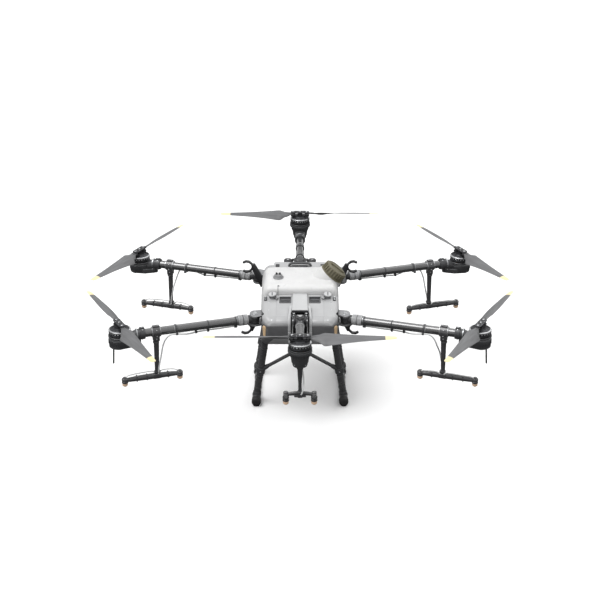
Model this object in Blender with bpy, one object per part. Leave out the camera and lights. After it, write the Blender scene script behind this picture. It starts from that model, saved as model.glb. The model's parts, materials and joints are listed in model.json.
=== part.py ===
"""Agricultural spray drone: a six-arm folding multirotor with a slide-out tank and battery.

Metres, +Z up, nose towards -Y. The origin lies on the ground, under the middle of the aircraft.
Every arm is modelled along its own +X axis, from its fold hinge out to its motor, and then placed.
"""

import math

import bmesh
import bpy
from mathutils import Matrix, Vector

GAP = 0.0003  # between pieces that rest on each other
SIDES = 12  # facets round a tube

# Motors, seen from above
SIDE_MOTOR_X, SIDE_MOTOR_Y = 0.9465, 0.504
END_MOTOR_Y = 0.86

# Fold hinges
SIDE_HINGE = (0.245, 0.285, 0.570)
END_HINGE = (0.0, 0.400, 0.610)
HINGE_TILT = math.radians(14)  # side hinges lean, so that folded arms cross one above the other
STOWED_FOLD = math.radians(100)
HOOK_REACH = 0.47  # along a stowed arm, from its hinge to the hook that holds it
KNUCKLE_R, KNUCKLE_H = 0.026, 0.047
PIN_R = 0.006
EAR_T = 0.010

# Arms
TUBE_R = 0.0225
SIDE_LENGTH = math.hypot(SIDE_MOTOR_X - SIDE_HINGE[0], SIDE_MOTOR_Y - SIDE_HINGE[1])
END_LENGTH = END_MOTOR_Y - END_HINGE[1]
SIDE_AZIMUTH = math.atan2(SIDE_MOTOR_Y - SIDE_HINGE[1], SIDE_MOTOR_X - SIDE_HINGE[0])
TUBE_START = 0.020
TUBE_SHORT = 0.085  # a tube stops this far before its motor's axis
SLEEVE_START, SLEEVE_LENGTH, SLEEVE_R = 0.040, 0.055, 0.030

# Motors and propellers
HOUSING_R = 0.062
BELL_R, BELL_H = 0.058, 0.042
BELL_GAP = 0.002
SIDE_SEAT, END_SEAT = 0.012, 0.072  # top of the motor housing above the tube's axis
PIN_REACH = 0.040  # from the motor's axis to a blade's fold pin
PROP_R = 0.4826
PROP_PITCH = 0.508
MOST_PITCH = math.radians(30)  # flattened root, which clears the bell when a blade folds
CLAMP_T = 0.005
ROOT_T = 0.014
SIDE_REST = math.radians(10.7)  # resting side blades stand this far off square to their arm
BLADE_RISE = BELL_H + CLAMP_T + GAP + ROOT_T / 2  # from the bell's foot to the blades' mid-plane

# Spray lances
LANCE_X = SIDE_LENGTH - 0.192
LANCE_DROP = 0.265
LANCE_IN, LANCE_OUT = 0.120, 0.180
END_LANCE_DROP = 0.195
END_LANCE_HALF = 0.072
NOZZLE_R = 0.014

# Fuselage
BAY_FRONT, BAY_REAR = -0.168, 0.148
FRAME_X, FRAME_Y = 0.195, 0.320
RAIL_W, RAIL_LOW, RAIL_HIGH = 0.030, 0.515, 0.585
PAN_LOW, PAN_TOP = 0.420, 0.572
NOSE_Y = 0.390
SLOT_HALF = 0.054  # half the slot that an end arm folds down through
WALL = 0.004

# Spray tank
TANK_HALF, TANK_TOP, TANK_LOW = 0.212, 0.700, 0.440
TANK_SHOULDER = RAIL_HIGH + GAP
SUMP_HALF = 0.155
LID_TILT = math.radians(40)
LID_SEAT = (0.176, 0.010, 0.705)
LID_R, LID_H = 0.068, 0.048
NECK_R, NECK_H = 0.052, 0.024
MOUTH_R = 0.044

# Landing gear
SKID_X, SKID_Z, SKID_R, SKID_HALF = 0.245, 0.0262, 0.016, 0.200
BOOT_R = 0.026
LEG_R = 0.019
LEG_TOP = (0.188, 0.200, PAN_LOW - 0.004)
LEG_FOOT = (0.243, 0.165, 0.046)
BRACE_R = 0.010
KEEL_LOW = 0.345

ARMS = {
    "front_left": (-1, -1),
    "front_right": (1, -1),
    "rear_left": (-1, 1),
    "rear_right": (1, 1),
    "nose": (0, -1),
    "tail": (0, 1),
}
COUNTER_CLOCKWISE = ("nose", "front_left", "rear_right")


# ---------------------------------------------------------------- materials

PALETTE = {  # red, green, blue, metallic, roughness
    "carbon": (0.035, 0.035, 0.038, 0.0, 0.38),
    "black_plastic": (0.022, 0.022, 0.024, 0.0, 0.52),
    "dark_plastic": (0.115, 0.118, 0.124, 0.0, 0.48),
    "white_plastic": (0.800, 0.805, 0.810, 0.0, 0.38),
    "tank_plastic": (0.770, 0.775, 0.770, 0.0, 0.34),
    "blade_composite": (0.150, 0.153, 0.160, 0.0, 0.45),
    "motor_metal": (0.090, 0.092, 0.098, 0.8, 0.36),
    "lid_plastic": (0.300, 0.285, 0.225, 0.0, 0.55),
    "rubber": (0.014, 0.014, 0.015, 0.0, 0.72),
    "aluminium": (0.620, 0.630, 0.640, 1.0, 0.32),
}


def make_material(name):
    red, green, blue, metallic, roughness = PALETTE[name]
    material = bpy.data.materials.new(name)
    material.use_nodes = True
    shader = material.node_tree.nodes["Principled BSDF"]
    shader.inputs["Base Color"].default_value = (red, green, blue, 1)
    shader.inputs["Metallic"].default_value = metallic
    shader.inputs["Roughness"].default_value = roughness
    material.diffuse_color = (red, green, blue, 1)
    return material


# ---------------------------------------------------------------- mesh tools


def to_object(name, mesh_builder):
    """Turns a bmesh into an object in the scene."""
    bmesh.ops.recalc_face_normals(mesh_builder, faces=mesh_builder.faces)
    mesh = bpy.data.meshes.new(name)
    mesh_builder.to_mesh(mesh)
    mesh_builder.free()
    result = bpy.data.objects.new(name, mesh)
    bpy.context.scene.collection.objects.link(result)
    return result


def loft(name, loops):
    """A closed body through loops of equally many points, with flat ends."""
    builder = bmesh.new()
    rings = [[builder.verts.new(point) for point in loop] for loop in loops]
    for low, high in zip(rings, rings[1:]):
        for i in range(len(low)):
            j = (i + 1) % len(low)
            builder.faces.new((low[i], low[j], high[j], high[i]))
    builder.faces.new(list(reversed(rings[0])))
    builder.faces.new(rings[-1])
    return to_object(name, builder)


def circle(radius, height, sides=SIDES):
    step = 2 * math.pi / sides
    return [(radius * math.cos(i * step), radius * math.sin(i * step), height) for i in range(sides)]


def turned(name, profile, sides=SIDES):
    """A body turned about Z from (radius, height) pairs, from the bottom to the top."""
    return loft(name, [circle(radius, height, sides) for radius, height in profile])


def ring(name, inner, outer, low, high, sides=SIDES):
    """A round collar about Z."""
    body = turned(name, [(outer, low), (outer, high)], sides)
    hole = turned(name + "_hole", [(inner, low - 0.01), (inner, high + 0.01)], sides)
    return combine(body, "DIFFERENCE", hole)


def box(name, low, high, bevel=0.0):
    """A box between two corners, with its edges bevelled."""
    builder = bmesh.new()
    size = Vector(high) - Vector(low)
    centre = (Vector(high) + Vector(low)) / 2
    bmesh.ops.create_cube(builder, size=1, matrix=Matrix.Translation(centre) @ Matrix.Diagonal((*size, 1)))
    if bevel:
        bmesh.ops.bevel(builder, geom=builder.edges[:], offset=bevel, segments=1, affect="EDGES")
    return to_object(name, builder)


def rod(name, start, end, radius, sides=SIDES, end_radius=None):
    """A straight round bar between two points."""
    axis = Vector(end) - Vector(start)
    turn = axis.to_track_quat("Z", "Y").to_matrix().to_4x4()
    place = Matrix.Translation(start) @ turn
    loops = [circle(radius, 0, sides), circle(end_radius or radius, axis.length, sides)]
    return loft(name, [[place @ Vector(point) for point in loop] for loop in loops])


def rounded_rectangle(half_x, low, high, corner):
    """Eight points of a rectangle in X and Z with cut corners."""
    return [
        (half_x, low + corner),
        (half_x, high - corner),
        (half_x - corner, high),
        (corner - half_x, high),
        (-half_x, high - corner),
        (-half_x, low + corner),
        (corner - half_x, low),
        (half_x - corner, low),
    ]


def hull_along_y(name, stations, corner):
    """A body through stations of (y, half width, low, high)."""
    loops = []
    for y, half_x, low, high in stations:
        loops.append([(x, y, z) for x, z in rounded_rectangle(half_x, low, high, corner)])
    return loft(name, loops)


def prism_y(name, outline, low_y, high_y):
    """An outline in X and Z, drawn out along Y."""
    return loft(name, [[(x, y, z) for x, z in outline] for y in (low_y, high_y)])


def moved(body, matrix):
    body.data.transform(matrix)
    return body


def combine(body, operation, *others):
    """Joins or cuts bodies with Boolean modifiers, applies them, and removes the other bodies."""
    for other in others:
        modifier = body.modifiers.new(other.name, "BOOLEAN")
        modifier.operation = operation
        modifier.object = other
    bpy.context.view_layer.update()
    graph = bpy.context.evaluated_depsgraph_get()
    mesh = bpy.data.meshes.new_from_object(body.evaluated_get(graph))
    body.modifiers.clear()
    body.data = mesh
    for other in others:
        bpy.data.objects.remove(other)
    return body


def finish(body, name, material, parent=None, place=None):
    """Names a finished body, gives it its material and shading, and puts it in its place."""
    body.name = name
    body.data.name = name
    body.data.materials.clear()
    body.data.materials.append(material)
    body.data.shade_smooth()
    body.data.set_sharp_from_angle(angle=math.radians(35))
    body.parent = parent
    if place is not None:
        body.matrix_local = place
    return body


def copy_of(body, name, parent, place):
    """Another object that shares a body's mesh."""
    twin = bpy.data.objects.new(name, body.data)
    bpy.context.scene.collection.objects.link(twin)
    twin.parent = parent
    twin.matrix_local = place
    return twin


def pivot(name, location, parent=None, azimuth=0.0):
    """An empty on a joint's axis."""
    empty = bpy.data.objects.new(name, None)
    bpy.context.scene.collection.objects.link(empty)
    empty.location = location
    empty.rotation_euler.z = azimuth
    empty.parent = parent
    return empty


# ---------------------------------------------------------------- arm geometry


def hinge_of(arm):
    side, end = ARMS[arm]
    x, y, z = SIDE_HINGE if side else END_HINGE
    return Vector((side * x, end * y, z))


def azimuth_of(arm):
    side, end = ARMS[arm]
    if not side:
        return end * math.pi / 2
    return math.atan2(end * math.sin(SIDE_AZIMUTH), side * math.cos(SIDE_AZIMUTH))


def lean_of(arm):
    """How far the hinge pin leans about the arm's own axis, towards the nose."""
    side, _ = ARMS[arm]
    return HINGE_TILT * side


def pin_frame(arm):
    """The arm's own frame, with Z along its hinge pin."""
    if ARMS[arm][0]:
        return Matrix.Rotation(lean_of(arm), 4, "X")
    return Matrix.Rotation(math.pi / 2, 4, "X")


def place_of(arm):
    return Matrix.Translation(hinge_of(arm)) @ Matrix.Rotation(azimuth_of(arm), 4, "Z")


# ---------------------------------------------------------------- arm pieces


def build_arm_tube(arm):
    """Carbon tube with its root knuckle, bored for the hinge pin."""
    side = ARMS[arm][0]
    length = SIDE_LENGTH if side else END_LENGTH
    tube = rod("tube", (TUBE_START, 0, 0), (length - TUBE_SHORT, 0, 0), TUBE_R)
    knuckle = turned("knuckle", [(KNUCKLE_R, -KNUCKLE_H / 2), (KNUCKLE_R, KNUCKLE_H / 2)])
    moved(knuckle, pin_frame(arm))
    bore = turned("bore", [(PIN_R + GAP, -KNUCKLE_H), (PIN_R + GAP, KNUCKLE_H)], 12)
    moved(bore, pin_frame(arm))
    combine(tube, "UNION", knuckle)
    return combine(tube, "DIFFERENCE", bore)


def build_lock_sleeve():
    """Threaded collar that turns on the tube and locks the unfolded arm, with eight grip ribs."""
    body = ring("sleeve", TUBE_R + 0.0011, SLEEVE_R - 0.0025, 0, SLEEVE_LENGTH, 16)
    ribs = []
    for i in range(8):
        rib = box("rib", (SLEEVE_R - 0.0040, -0.003, 0.008), (SLEEVE_R, 0.003, SLEEVE_LENGTH - 0.008))
        ribs.append(moved(rib, Matrix.Rotation(i * math.pi / 4 + math.pi / 24, 4, "Z")))
    combine(body, "UNION", *ribs)
    return moved(body, Matrix.Translation((SLEEVE_START, 0, 0)) @ Matrix.Rotation(math.pi / 2, 4, "Y"))


def build_side_mount():
    """Motor housing of a side arm: a pan under the motor and a split clamp on the tube's end."""
    profile = [(0.040, -0.054), (0.058, -0.044), (HOUSING_R, -0.020), (HOUSING_R, SIDE_SEAT)]
    pan = turned("pan", profile, 20)
    neck = rod("neck", (-0.128, 0, 0), (-0.030, 0, -0.023), 0.029, 12, 0.029)
    bolts = box("bolts", (-0.122, -0.008, 0.020), (-0.096, 0.008, 0.036), 0.002)
    keel = box("keel", (-0.112, -0.012, -0.042), (-0.030, 0.012, -0.015), 0.004)
    combine(pan, "UNION", neck, bolts, keel)
    seat = rod("seat", (-0.20, 0, 0), (-TUBE_SHORT + GAP, 0, 0), TUBE_R + GAP)
    return combine(pan, "DIFFERENCE", seat)


def build_end_mount():
    """Motor housing of the nose or tail arm: a cone that carries the motor above the tube."""
    profile = [(0.036, -0.030), (0.044, -0.012), (0.052, 0.030), (HOUSING_R, 0.050), (HOUSING_R, END_SEAT)]
    cone = turned("cone", profile, 20)
    neck = rod("neck", (-0.120, 0, 0), (-0.020, 0, 0), 0.029, 12, 0.034)
    combine(cone, "UNION", neck)
    seat = rod("seat", (-0.20, 0, 0), (-TUBE_SHORT + GAP, 0, 0), TUBE_R + GAP)
    return combine(cone, "DIFFERENCE", seat)


def build_rotor_hub():
    """Motor bell, the two clamp plates on it and the blades' fold pins. Z 0 is the bell's foot."""
    profile = [(BELL_R, 0), (BELL_R, BELL_H - 0.014), (BELL_R - 0.010, BELL_H - 0.007)]
    profile += [(0.032, BELL_H - 0.0065), (0.032, BELL_H)]
    bell = turned("bell", profile, 20)
    plates = []
    high = BELL_H + CLAMP_T + 2 * GAP + ROOT_T
    for low in (BELL_H - 0.003, high):
        top = low + CLAMP_T + (0.003 if low < high else 0)
        plates.append(box("plate", (-0.056, -0.019, low), (0.056, 0.019, top)))
    pins = [rod("pin", (x, 0, BELL_H - 0.001), (x, 0, high + 0.002), 0.0040, 8) for x in (-PIN_REACH, PIN_REACH)]
    hub = turned("core", [(0.015, BELL_H - 0.001), (0.015, high + 0.002)], 12)
    combine(bell, "UNION", *plates)
    return combine(bell, "UNION", *pins, hub)


def blade_section(radius, chord, thickness, hand):
    """Six points round an aerofoil, pitched for its radius. hand is 1 on an anticlockwise propeller."""
    pitch = min(math.atan2(PROP_PITCH, 2 * math.pi * radius), MOST_PITCH)
    across = Vector((0, hand * math.cos(pitch), math.sin(pitch)))
    up = Vector((0, -hand * math.sin(pitch), math.cos(pitch)))
    outline = [(0.32, 0), (0.16, 0.55), (-0.30, 0.36), (-0.68, -0.05), (-0.30, -0.30), (0.16, -0.38)]
    points = [across * a * chord + up * b * thickness for a, b in outline]
    return [(radius - PIN_REACH, p.y, p.z) for p in points]


def build_blade(hand):
    """One folding blade, with its root eye on the fold pin at the origin."""
    share_chord_thickness = [
        (0.142, 0.032, 0.012),
        (0.185, 0.044, 0.010),
        (0.260, 0.080, 0.008),
        (0.420, 0.068, 0.006),
        (0.640, 0.050, 0.005),
        (0.950, 0.028, 0.003),
        (1.000, 0.014, 0.002),
    ]
    loops = [blade_section(PROP_R * share, chord, thick, hand) for share, chord, thick in share_chord_thickness]
    if hand < 0:
        loops = [list(reversed(loop)) for loop in loops]
    blade = loft("blade", loops)
    eye = turned("eye", [(0.011, -ROOT_T / 2), (0.011, ROOT_T / 2)], 10)
    shank = box("shank", (0.002, -0.0075, -0.0045), (0.038, 0.0075, 0.0045), 0.002)
    bore = turned("bore", [(0.0046, -0.02), (0.0046, 0.02)], 8)
    combine(blade, "UNION", shank, eye)
    return combine(blade, "DIFFERENCE", bore)


def nozzle(x, y, top):
    """A spray nozzle: its body, its cap nut and its tip."""
    profile = [(0.006, top - 0.047), (0.0125, top - 0.041), (0.0125, top - 0.029)]
    profile += [(NOZZLE_R, top - 0.028), (NOZZLE_R, top)]
    return moved(turned("nozzle", profile, 8), Matrix.Translation((x, y, 0)))


def build_side_lance():
    """Clamp collar, strut and level spray bar with a nozzle at each end."""
    collar = ring("collar", TUBE_R + GAP, 0.030, -0.020, 0.020)
    moved(collar, Matrix.Rotation(math.pi / 2, 4, "Y"))
    cap = box("cap", (-0.018, -0.010, 0.026), (0.018, 0.010, 0.036), 0.002)
    boss = box("boss", (-0.018, -0.014, -0.050), (0.018, 0.014, -0.026), 0.003)
    strut = rod("strut", (0, 0, -0.045), (0.004, 0, -LANCE_DROP), 0.0135, 8, 0.0115)
    bar = rod("bar", (-LANCE_IN, 0, -LANCE_DROP), (LANCE_OUT, 0, -LANCE_DROP), 0.0095, 8)
    tips = [nozzle(x, 0, -LANCE_DROP + 0.013) for x in (-LANCE_IN, LANCE_OUT)]
    return combine(collar, "UNION", cap, boss, strut, bar, *tips)


def build_end_lance():
    """Strut under an end motor, with a short bar across and a double nozzle at each end."""
    top = -0.030 - GAP
    strut = rod("strut", (0, 0, top), (0, 0, -END_LANCE_DROP), 0.017, 10, 0.010)
    half = END_LANCE_HALF
    reach = half + 0.003
    bar = rod("bar", (0, -reach, -END_LANCE_DROP), (0, reach, -END_LANCE_DROP), 0.009, 8)
    heads = []
    for side in (-1, 1):
        level = -END_LANCE_DROP - 0.0013
        heads.append(nozzle(0, side * half, -END_LANCE_DROP - 0.0085))
        heads.append(rod("elbow", (-0.0223, side * half, level), (0.0223, side * half, level), 0.0137, 8))
    return combine(strut, "UNION", bar, *heads)


def build_arms(paint):
    """All six arms, each on its hinge pivot, with motors, propellers, lances and lock sleeves."""
    shared = {
        "side_mount": build_side_mount(),
        "end_mount": build_end_mount(),
        "rotor": build_rotor_hub(),
        "blade_ccw": build_blade(1),
        "blade_cw": build_blade(-1),
        "side_lance": build_side_lance(),
        "end_lance": build_end_lance(),
        "sleeve": build_lock_sleeve(),
    }
    looks = ("dark_plastic", "dark_plastic", "motor_metal", "blade_composite", "blade_composite")
    looks += ("black_plastic", "black_plastic", "dark_plastic")
    for (key, body), look in zip(shared.items(), looks):
        finish(body, key, paint[look])
    for arm, (side, _) in ARMS.items():
        length = SIDE_LENGTH if side else END_LENGTH
        seat = SIDE_SEAT if side else END_SEAT
        kind = "side" if side else "end"
        hinge = pivot("hinge_" + arm, hinge_of(arm), azimuth=azimuth_of(arm))
        finish(build_arm_tube(arm), "arm_tube_" + arm, paint["carbon"], hinge)
        copy_of(shared[kind + "_mount"], "motor_mount_" + arm, hinge, Matrix.Translation((length, 0, 0)))
        lance_x = LANCE_X if side else length
        copy_of(shared[kind + "_lance"], "spray_lance_" + arm, hinge, Matrix.Translation((lance_x, 0, 0)))
        if side:
            copy_of(shared["sleeve"], "lock_sleeve_" + arm, hinge, Matrix())
        rest = math.pi / 2 + side * ARMS[arm][1] * SIDE_REST
        spin = pivot("spin_" + arm, (length, 0, seat + BELL_GAP), hinge, rest)
        copy_of(shared["rotor"], "rotor_hub_" + arm, spin, Matrix())
        blade = shared["blade_ccw" if arm in COUNTER_CLOCKWISE else "blade_cw"]
        for letter, turn in (("a", 0), ("b", math.pi)):
            around = Matrix.Rotation(turn, 4, "Z")
            place = around @ Matrix.Translation((PIN_REACH, 0, BLADE_RISE))
            copy_of(blade, f"blade_{letter}_{arm}", spin, place)
    for body in shared.values():
        bpy.data.objects.remove(body)


# ---------------------------------------------------------------- frame


def fork_plate(arm, reach, half_width, radius, low):
    """One cheek of a fork, round at the pin and square where it meets the chassis."""
    outline = [(-reach, half_width), (-reach, -half_width)]
    for i in range(9):
        angle = math.radians(-100 + 25 * i)
        outline.append((radius * math.cos(angle), radius * math.sin(angle)))
    cheek = loft("cheek", [[(x, y, z) for x, y in outline] for z in (low, low + EAR_T)])
    return moved(cheek, place_of(arm) @ pin_frame(arm))


def fork(arm, reach, half_width, radius):
    """Two cheeks and a pin round an arm's knuckle."""
    low = KNUCKLE_H / 2 + GAP
    cheeks = [fork_plate(arm, reach, half_width, radius, near) for near in (-low - EAR_T, low)]
    pin = turned("pin", [(PIN_R, -low - 0.001), (PIN_R, low + 0.001)], 12)
    return cheeks + [moved(pin, place_of(arm) @ pin_frame(arm))]


def side_fork(arm):
    """A side arm's fork, with the block that carries it out from the rail."""
    side, end = ARMS[arm]
    near, far = sorted((side * (FRAME_X - 0.006), side * (SIDE_HINGE[0] - KNUCKLE_R - 0.008)))
    front, back = sorted((end * (SIDE_HINGE[1] - 0.034), end * (SIDE_HINGE[1] + 0.017)))
    block = box("block", (near, front, 0.541), (far, back, 0.601), 0.003)
    return fork(arm, 0.072, 0.023, 0.029) + [block]


def end_fork(arm):
    """The nose or tail arm's fork, on an upright web from the cross rail."""
    end = ARMS[arm][1]
    half = KNUCKLE_H / 2 + GAP + EAR_T - 0.001
    front, back = sorted((end * (END_HINGE[1] - 0.097), end * (END_HINGE[1] - 0.071)))
    web = box("web", (-half, front, RAIL_HIGH - 0.015), (half, back, END_HINGE[2] + 0.021))
    return fork(arm, 0.088, 0.023, 0.026) + [web]


def stow_hook(arm):
    """A C-shaped hook that holds the stowed arm, on a bracket from the side rail."""
    side, end = ARMS[arm]
    axis = place_of(arm).to_3x3() @ pin_frame(arm).to_3x3() @ Vector((0, 0, 1))
    outward = place_of(arm).to_3x3() @ Vector((1, 0, 0))
    stowed = Matrix.Rotation(-side * end * STOWED_FOLD, 3, axis) @ outward
    centre = hinge_of(arm) + stowed * HOOK_REACH
    inner, outer = TUBE_R + 0.005, TUBE_R + 0.014
    opening = math.radians(50)
    arc = 9
    angles = [opening + i * (2 * math.pi - 2 * opening) / (arc - 1) for i in range(arc)]
    outline = [(outer * math.cos(a), outer * math.sin(a)) for a in angles]
    outline += [(inner * math.cos(a), inner * math.sin(a)) for a in reversed(angles)]
    points = [(centre.x + side * x, centre.z + z) for x, z in outline]
    half_t = 0.010
    hook = prism_y("hook", points, centre.y - half_t, centre.y + half_t)
    rail_x = side * (FRAME_X - 0.008)
    rise = 1 if centre.z > SIDE_HINGE[2] else -1
    back = centre.x - side * (inner + 0.002)
    plate = [
        (rail_x, 0.560),
        (rail_x, 0.575 if rise > 0 else 0.530),
        (back - side * 0.016, centre.z + 0.016),
        (back, centre.z + 0.016),
        (back, centre.z - 0.016),
        (side * (FRAME_X + 0.030), 0.560),
    ]
    if rise < 0:
        clear = side * 0.2135  # just outside the belly pan
        plate = [
            (rail_x, 0.532),
            (rail_x, 0.560),
            (clear + side * 0.018, 0.560),
            (back, centre.z + 0.016),
            (back, centre.z - 0.016),
            (back - side * 0.012, centre.z - 0.016),
            (clear, 0.532),
        ]
    return [hook, prism_y("plate", plate, centre.y - half_t, centre.y + half_t)]


def build_center_frame():
    """The chassis: a ladder of rails round the tank and battery bays, with every arm's fork and hook."""
    frame = box("frame", (-FRAME_X, -FRAME_Y, RAIL_LOW), (FRAME_X, FRAME_Y, RAIL_HIGH), 0.004)
    inner_x = FRAME_X - RAIL_W
    bays = [(-FRAME_Y + RAIL_W, BAY_FRONT - 0.012), (BAY_FRONT, BAY_REAR), (BAY_REAR + 0.012, FRAME_Y - RAIL_W)]
    cutters = [box("bay", (-inner_x, low, 0.45), (inner_x, high, 0.65)) for low, high in bays]
    combine(frame, "DIFFERENCE", *cutters)
    for arm, (side, _) in ARMS.items():
        for part in side_fork(arm) if side else end_fork(arm):
            combine(frame, "UNION", part)
    for arm, (side, _) in ARMS.items():
        if side:
            for part in stow_hook(arm):
                combine(frame, "UNION", part)
    return frame


# ---------------------------------------------------------------- body shells


def shell_outline(half_x, low, high, foot, brow):
    """Eight points in X and Z, with cut lower and upper corners."""
    return [
        (half_x, low + foot),
        (half_x, high - brow),
        (half_x - brow, high),
        (brow - half_x, high),
        (-half_x, high - brow),
        (-half_x, low + foot),
        (foot - half_x, low),
        (half_x - foot, low),
    ]


def along_y(name, stations, foot, brow, inset=0.0, low_extra=0.0, high_extra=0.0):
    """A body through stations of (y, half width, low, high), drawn in by inset."""
    loops = []
    for y, half_x, low, high in stations:
        outline = shell_outline(half_x - inset, low + inset - low_extra, high - inset + high_extra, foot, brow)
        loops.append([(x, y, z) for x, z in outline])
    return loft(name, loops)


def fork_gaps(low, high):
    """Cutters for the places where the side forks pass through a shell."""
    cutters = []
    for x in (-1, 1):
        for y in (-1, 1):
            near, far = sorted((x * 0.190, x * 0.260))
            front, back = sorted((y * 0.236, y * 0.326))
            cutters.append(box("fork_gap", (near, front, low), (far, back, high)))
    return cutters


def build_belly_pan():
    """The lower tub, open at the top, with a boss under each end for the leg braces."""
    stations = [(-NOSE_Y, 0.178, 0.490, PAN_TOP), (-0.350, 0.206, 0.445, PAN_TOP), (-0.294, 0.210, PAN_LOW, PAN_TOP)]
    stations += [(-y, half_x, low, high) for y, half_x, low, high in reversed(stations)]
    pan = along_y("pan", stations, 0.020, 0.004)
    inner = [(y * (1 - WALL / NOSE_Y), half_x, low, high) for y, half_x, low, high in stations]
    hollow = along_y("hollow", inner, 0.020, 0.004, WALL, 0, 0.03)
    cutters = [hollow] + fork_gaps(0.526, 0.60)
    for y in (-1, 1):
        low_y, high_y = sorted((y * 0.335, y * 0.42))
        cutters.append(box("end_slot", (-SLOT_HALF, low_y, 0.505), (SLOT_HALF, high_y, 0.62)))
        for x in (-1, 1):
            near, far = sorted((x * 0.190, x * 0.260))
            front, back = sorted((y * 0.155, y * 0.188))
            cutters.append(box("hook_gap", (near, front, 0.522), (far, back, 0.60)))
    combine(pan, "DIFFERENCE", *cutters)
    bosses = [box("boss", (-0.030, y - 0.025, KEEL_LOW), (0.030, y + 0.025, PAN_LOW + 0.002), 0.003) for y in (-0.2, 0.2)]
    return combine(pan, "UNION", *bosses)


FRONT_STATIONS = [
    (-NOSE_Y, 0.168, PAN_TOP + GAP, 0.592),
    (-0.372, 0.188, PAN_TOP + GAP, 0.604),
    (-0.330, 0.206, PAN_TOP + GAP, 0.618),
    (-0.250, 0.210, PAN_TOP + GAP, 0.642),
    (BAY_FRONT - 0.0005, 0.210, PAN_TOP + GAP, 0.656),
]


def build_front_shell():
    """The front cover: a thin hood, open below and behind, slotted for the nose arm."""
    shell = along_y("shell", FRONT_STATIONS, 0.002, 0.014)
    inner = [(y + WALL if y < -0.38 else y, half_x, low, high) for y, half_x, low, high in FRONT_STATIONS]
    inner.append((BAY_FRONT + 0.03, 0.210, PAN_TOP, 0.656))
    hollow = along_y("hollow", inner, 0.002, 0.012, WALL, 0.03)
    slot = box("slot", (-SLOT_HALF, -0.42, 0.55), (SLOT_HALF, -0.286, 0.70))
    return combine(shell, "DIFFERENCE", hollow, slot, *fork_gaps(0.55, 0.616))


def build_rear_shell():
    """The rear cover, with a wall all round the battery bay."""
    stations = [
        (BAY_REAR + 0.0025, 0.210, PAN_TOP + GAP, 0.640),
        (0.250, 0.210, PAN_TOP + GAP, 0.634),
        (0.330, 0.206, PAN_TOP + GAP, 0.616),
        (0.372, 0.188, PAN_TOP + GAP, 0.604),
        (NOSE_Y, 0.168, PAN_TOP + GAP, 0.592),
    ]
    shell = along_y("shell", stations, 0.002, 0.014)
    inner = [(y - WALL if y > 0.38 else y, half_x, low, high) for y, half_x, low, high in stations]
    inner.insert(0, (BAY_REAR - 0.03, 0.210, PAN_TOP, 0.640))
    hollow = along_y("hollow", inner, 0.002, 0.012, WALL, 0.03)
    slot = box("slot", (-SLOT_HALF, 0.297, 0.55), (SLOT_HALF, 0.42, 0.70))
    bay = box("bay", (-0.152, 0.163, 0.60), (0.152, 0.287, 0.70))
    notches = [box("notch", (low, 0.13, 0.55), (low + 0.06, 0.188, 0.70)) for low in (-0.252, 0.192)]
    return combine(shell, "DIFFERENCE", hollow, slot, bay, *notches, *fork_gaps(0.55, 0.616))


def build_nose_spine():
    """Raised strip down the middle of the front cover, which runs out over the nose arm's fork."""
    stations = [
        (-0.345, 0.044, 0.636, 0.648),
        (-0.300, 0.044, 0.636, 0.654),
        (-0.250, 0.042, 0.642 + GAP, 0.660),
        (BAY_FRONT - 0.001, 0.040, 0.656 + GAP, 0.670),
    ]
    return along_y("spine", stations, 0.001, 0.004)


def build_camera():
    """Forward camera, on the front cross rail, below the nose arm."""
    body = box("body", (-0.030, -0.384, 0.520), (0.030, -FRAME_Y - GAP, 0.566), 0.003)
    barrel = rod("barrel", (0, -0.380, 0.541), (0, -0.393, 0.541), 0.015)
    return combine(body, "UNION", barrel)


def build_radar():
    """Height radar: a short drum under the tail end of the pan."""
    profile = [(0.040, 0.352), (0.046, 0.360), (0.046, PAN_LOW - 0.012), (0.050, PAN_LOW - 0.010)]
    profile.append((0.050, PAN_LOW - GAP))
    return moved(turned("radar", profile, 24), Matrix.Translation((0, 0.281, 0)))


def build_pump():
    """Delivery pump on the pan's floor: its block, its motor and its outlet stubs."""
    floor = PAN_LOW + WALL + GAP
    block = box("block", (-0.070, -0.262, floor), (0.070, -0.196, floor + 0.060), 0.005)
    motor = moved(turned("motor", [(0.030, floor + 0.050), (0.030, floor + 0.125)]), Matrix.Translation((0, -0.229, 0)))
    stubs = [rod("stub", (x * 0.065, -0.229, floor + 0.030), (x * 0.095, -0.229, floor + 0.030), 0.010, 12) for x in (-1, 1)]
    return combine(block, "UNION", motor, *stubs)


def build_battery():
    """Slide-in battery, with a lipped top and a grip ridge."""
    low = PAN_LOW + WALL + GAP
    body = box("body", (-0.146, 0.167, low), (0.146, 0.283, 0.646), 0.005)
    lid = box("lid", (-0.149, 0.165, 0.646), (0.149, 0.285, 0.662), 0.004)
    grip = box("grip", (-0.070, 0.212, 0.655), (0.070, 0.238, 0.684), 0.005)
    contacts = box("contacts", (-0.060, 0.180, 0.640), (0.060, 0.205, 0.668), 0.003)
    return combine(body, "UNION", lid, grip, contacts)


# ---------------------------------------------------------------- tank


def lid_frame():
    """Seat of the lid, with Z along the neck."""
    return Matrix.Translation(LID_SEAT) @ Matrix.Rotation(LID_TILT, 4, "Y")


def tank_shape(name, inset):
    """The tank's outside, or its inside when drawn in by a wall: a shouldered block on a narrower sump."""
    front, rear = BAY_FRONT + 0.003 + inset, BAY_REAR - 0.003 - inset
    half, top = TANK_HALF - inset, TANK_TOP - inset
    outline = [(half, TANK_SHOULDER + inset), (half, top - 0.030), (half - 0.022, top)]
    outline += [(-x, z) for x, z in reversed(outline)]
    upper = prism_y(name, outline, front, rear)
    sump = SUMP_HALF - inset
    lower = box("sump", (-sump, front, TANK_LOW + inset), (sump, rear, TANK_SHOULDER + 0.02))
    return combine(upper, "UNION", lower)


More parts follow.
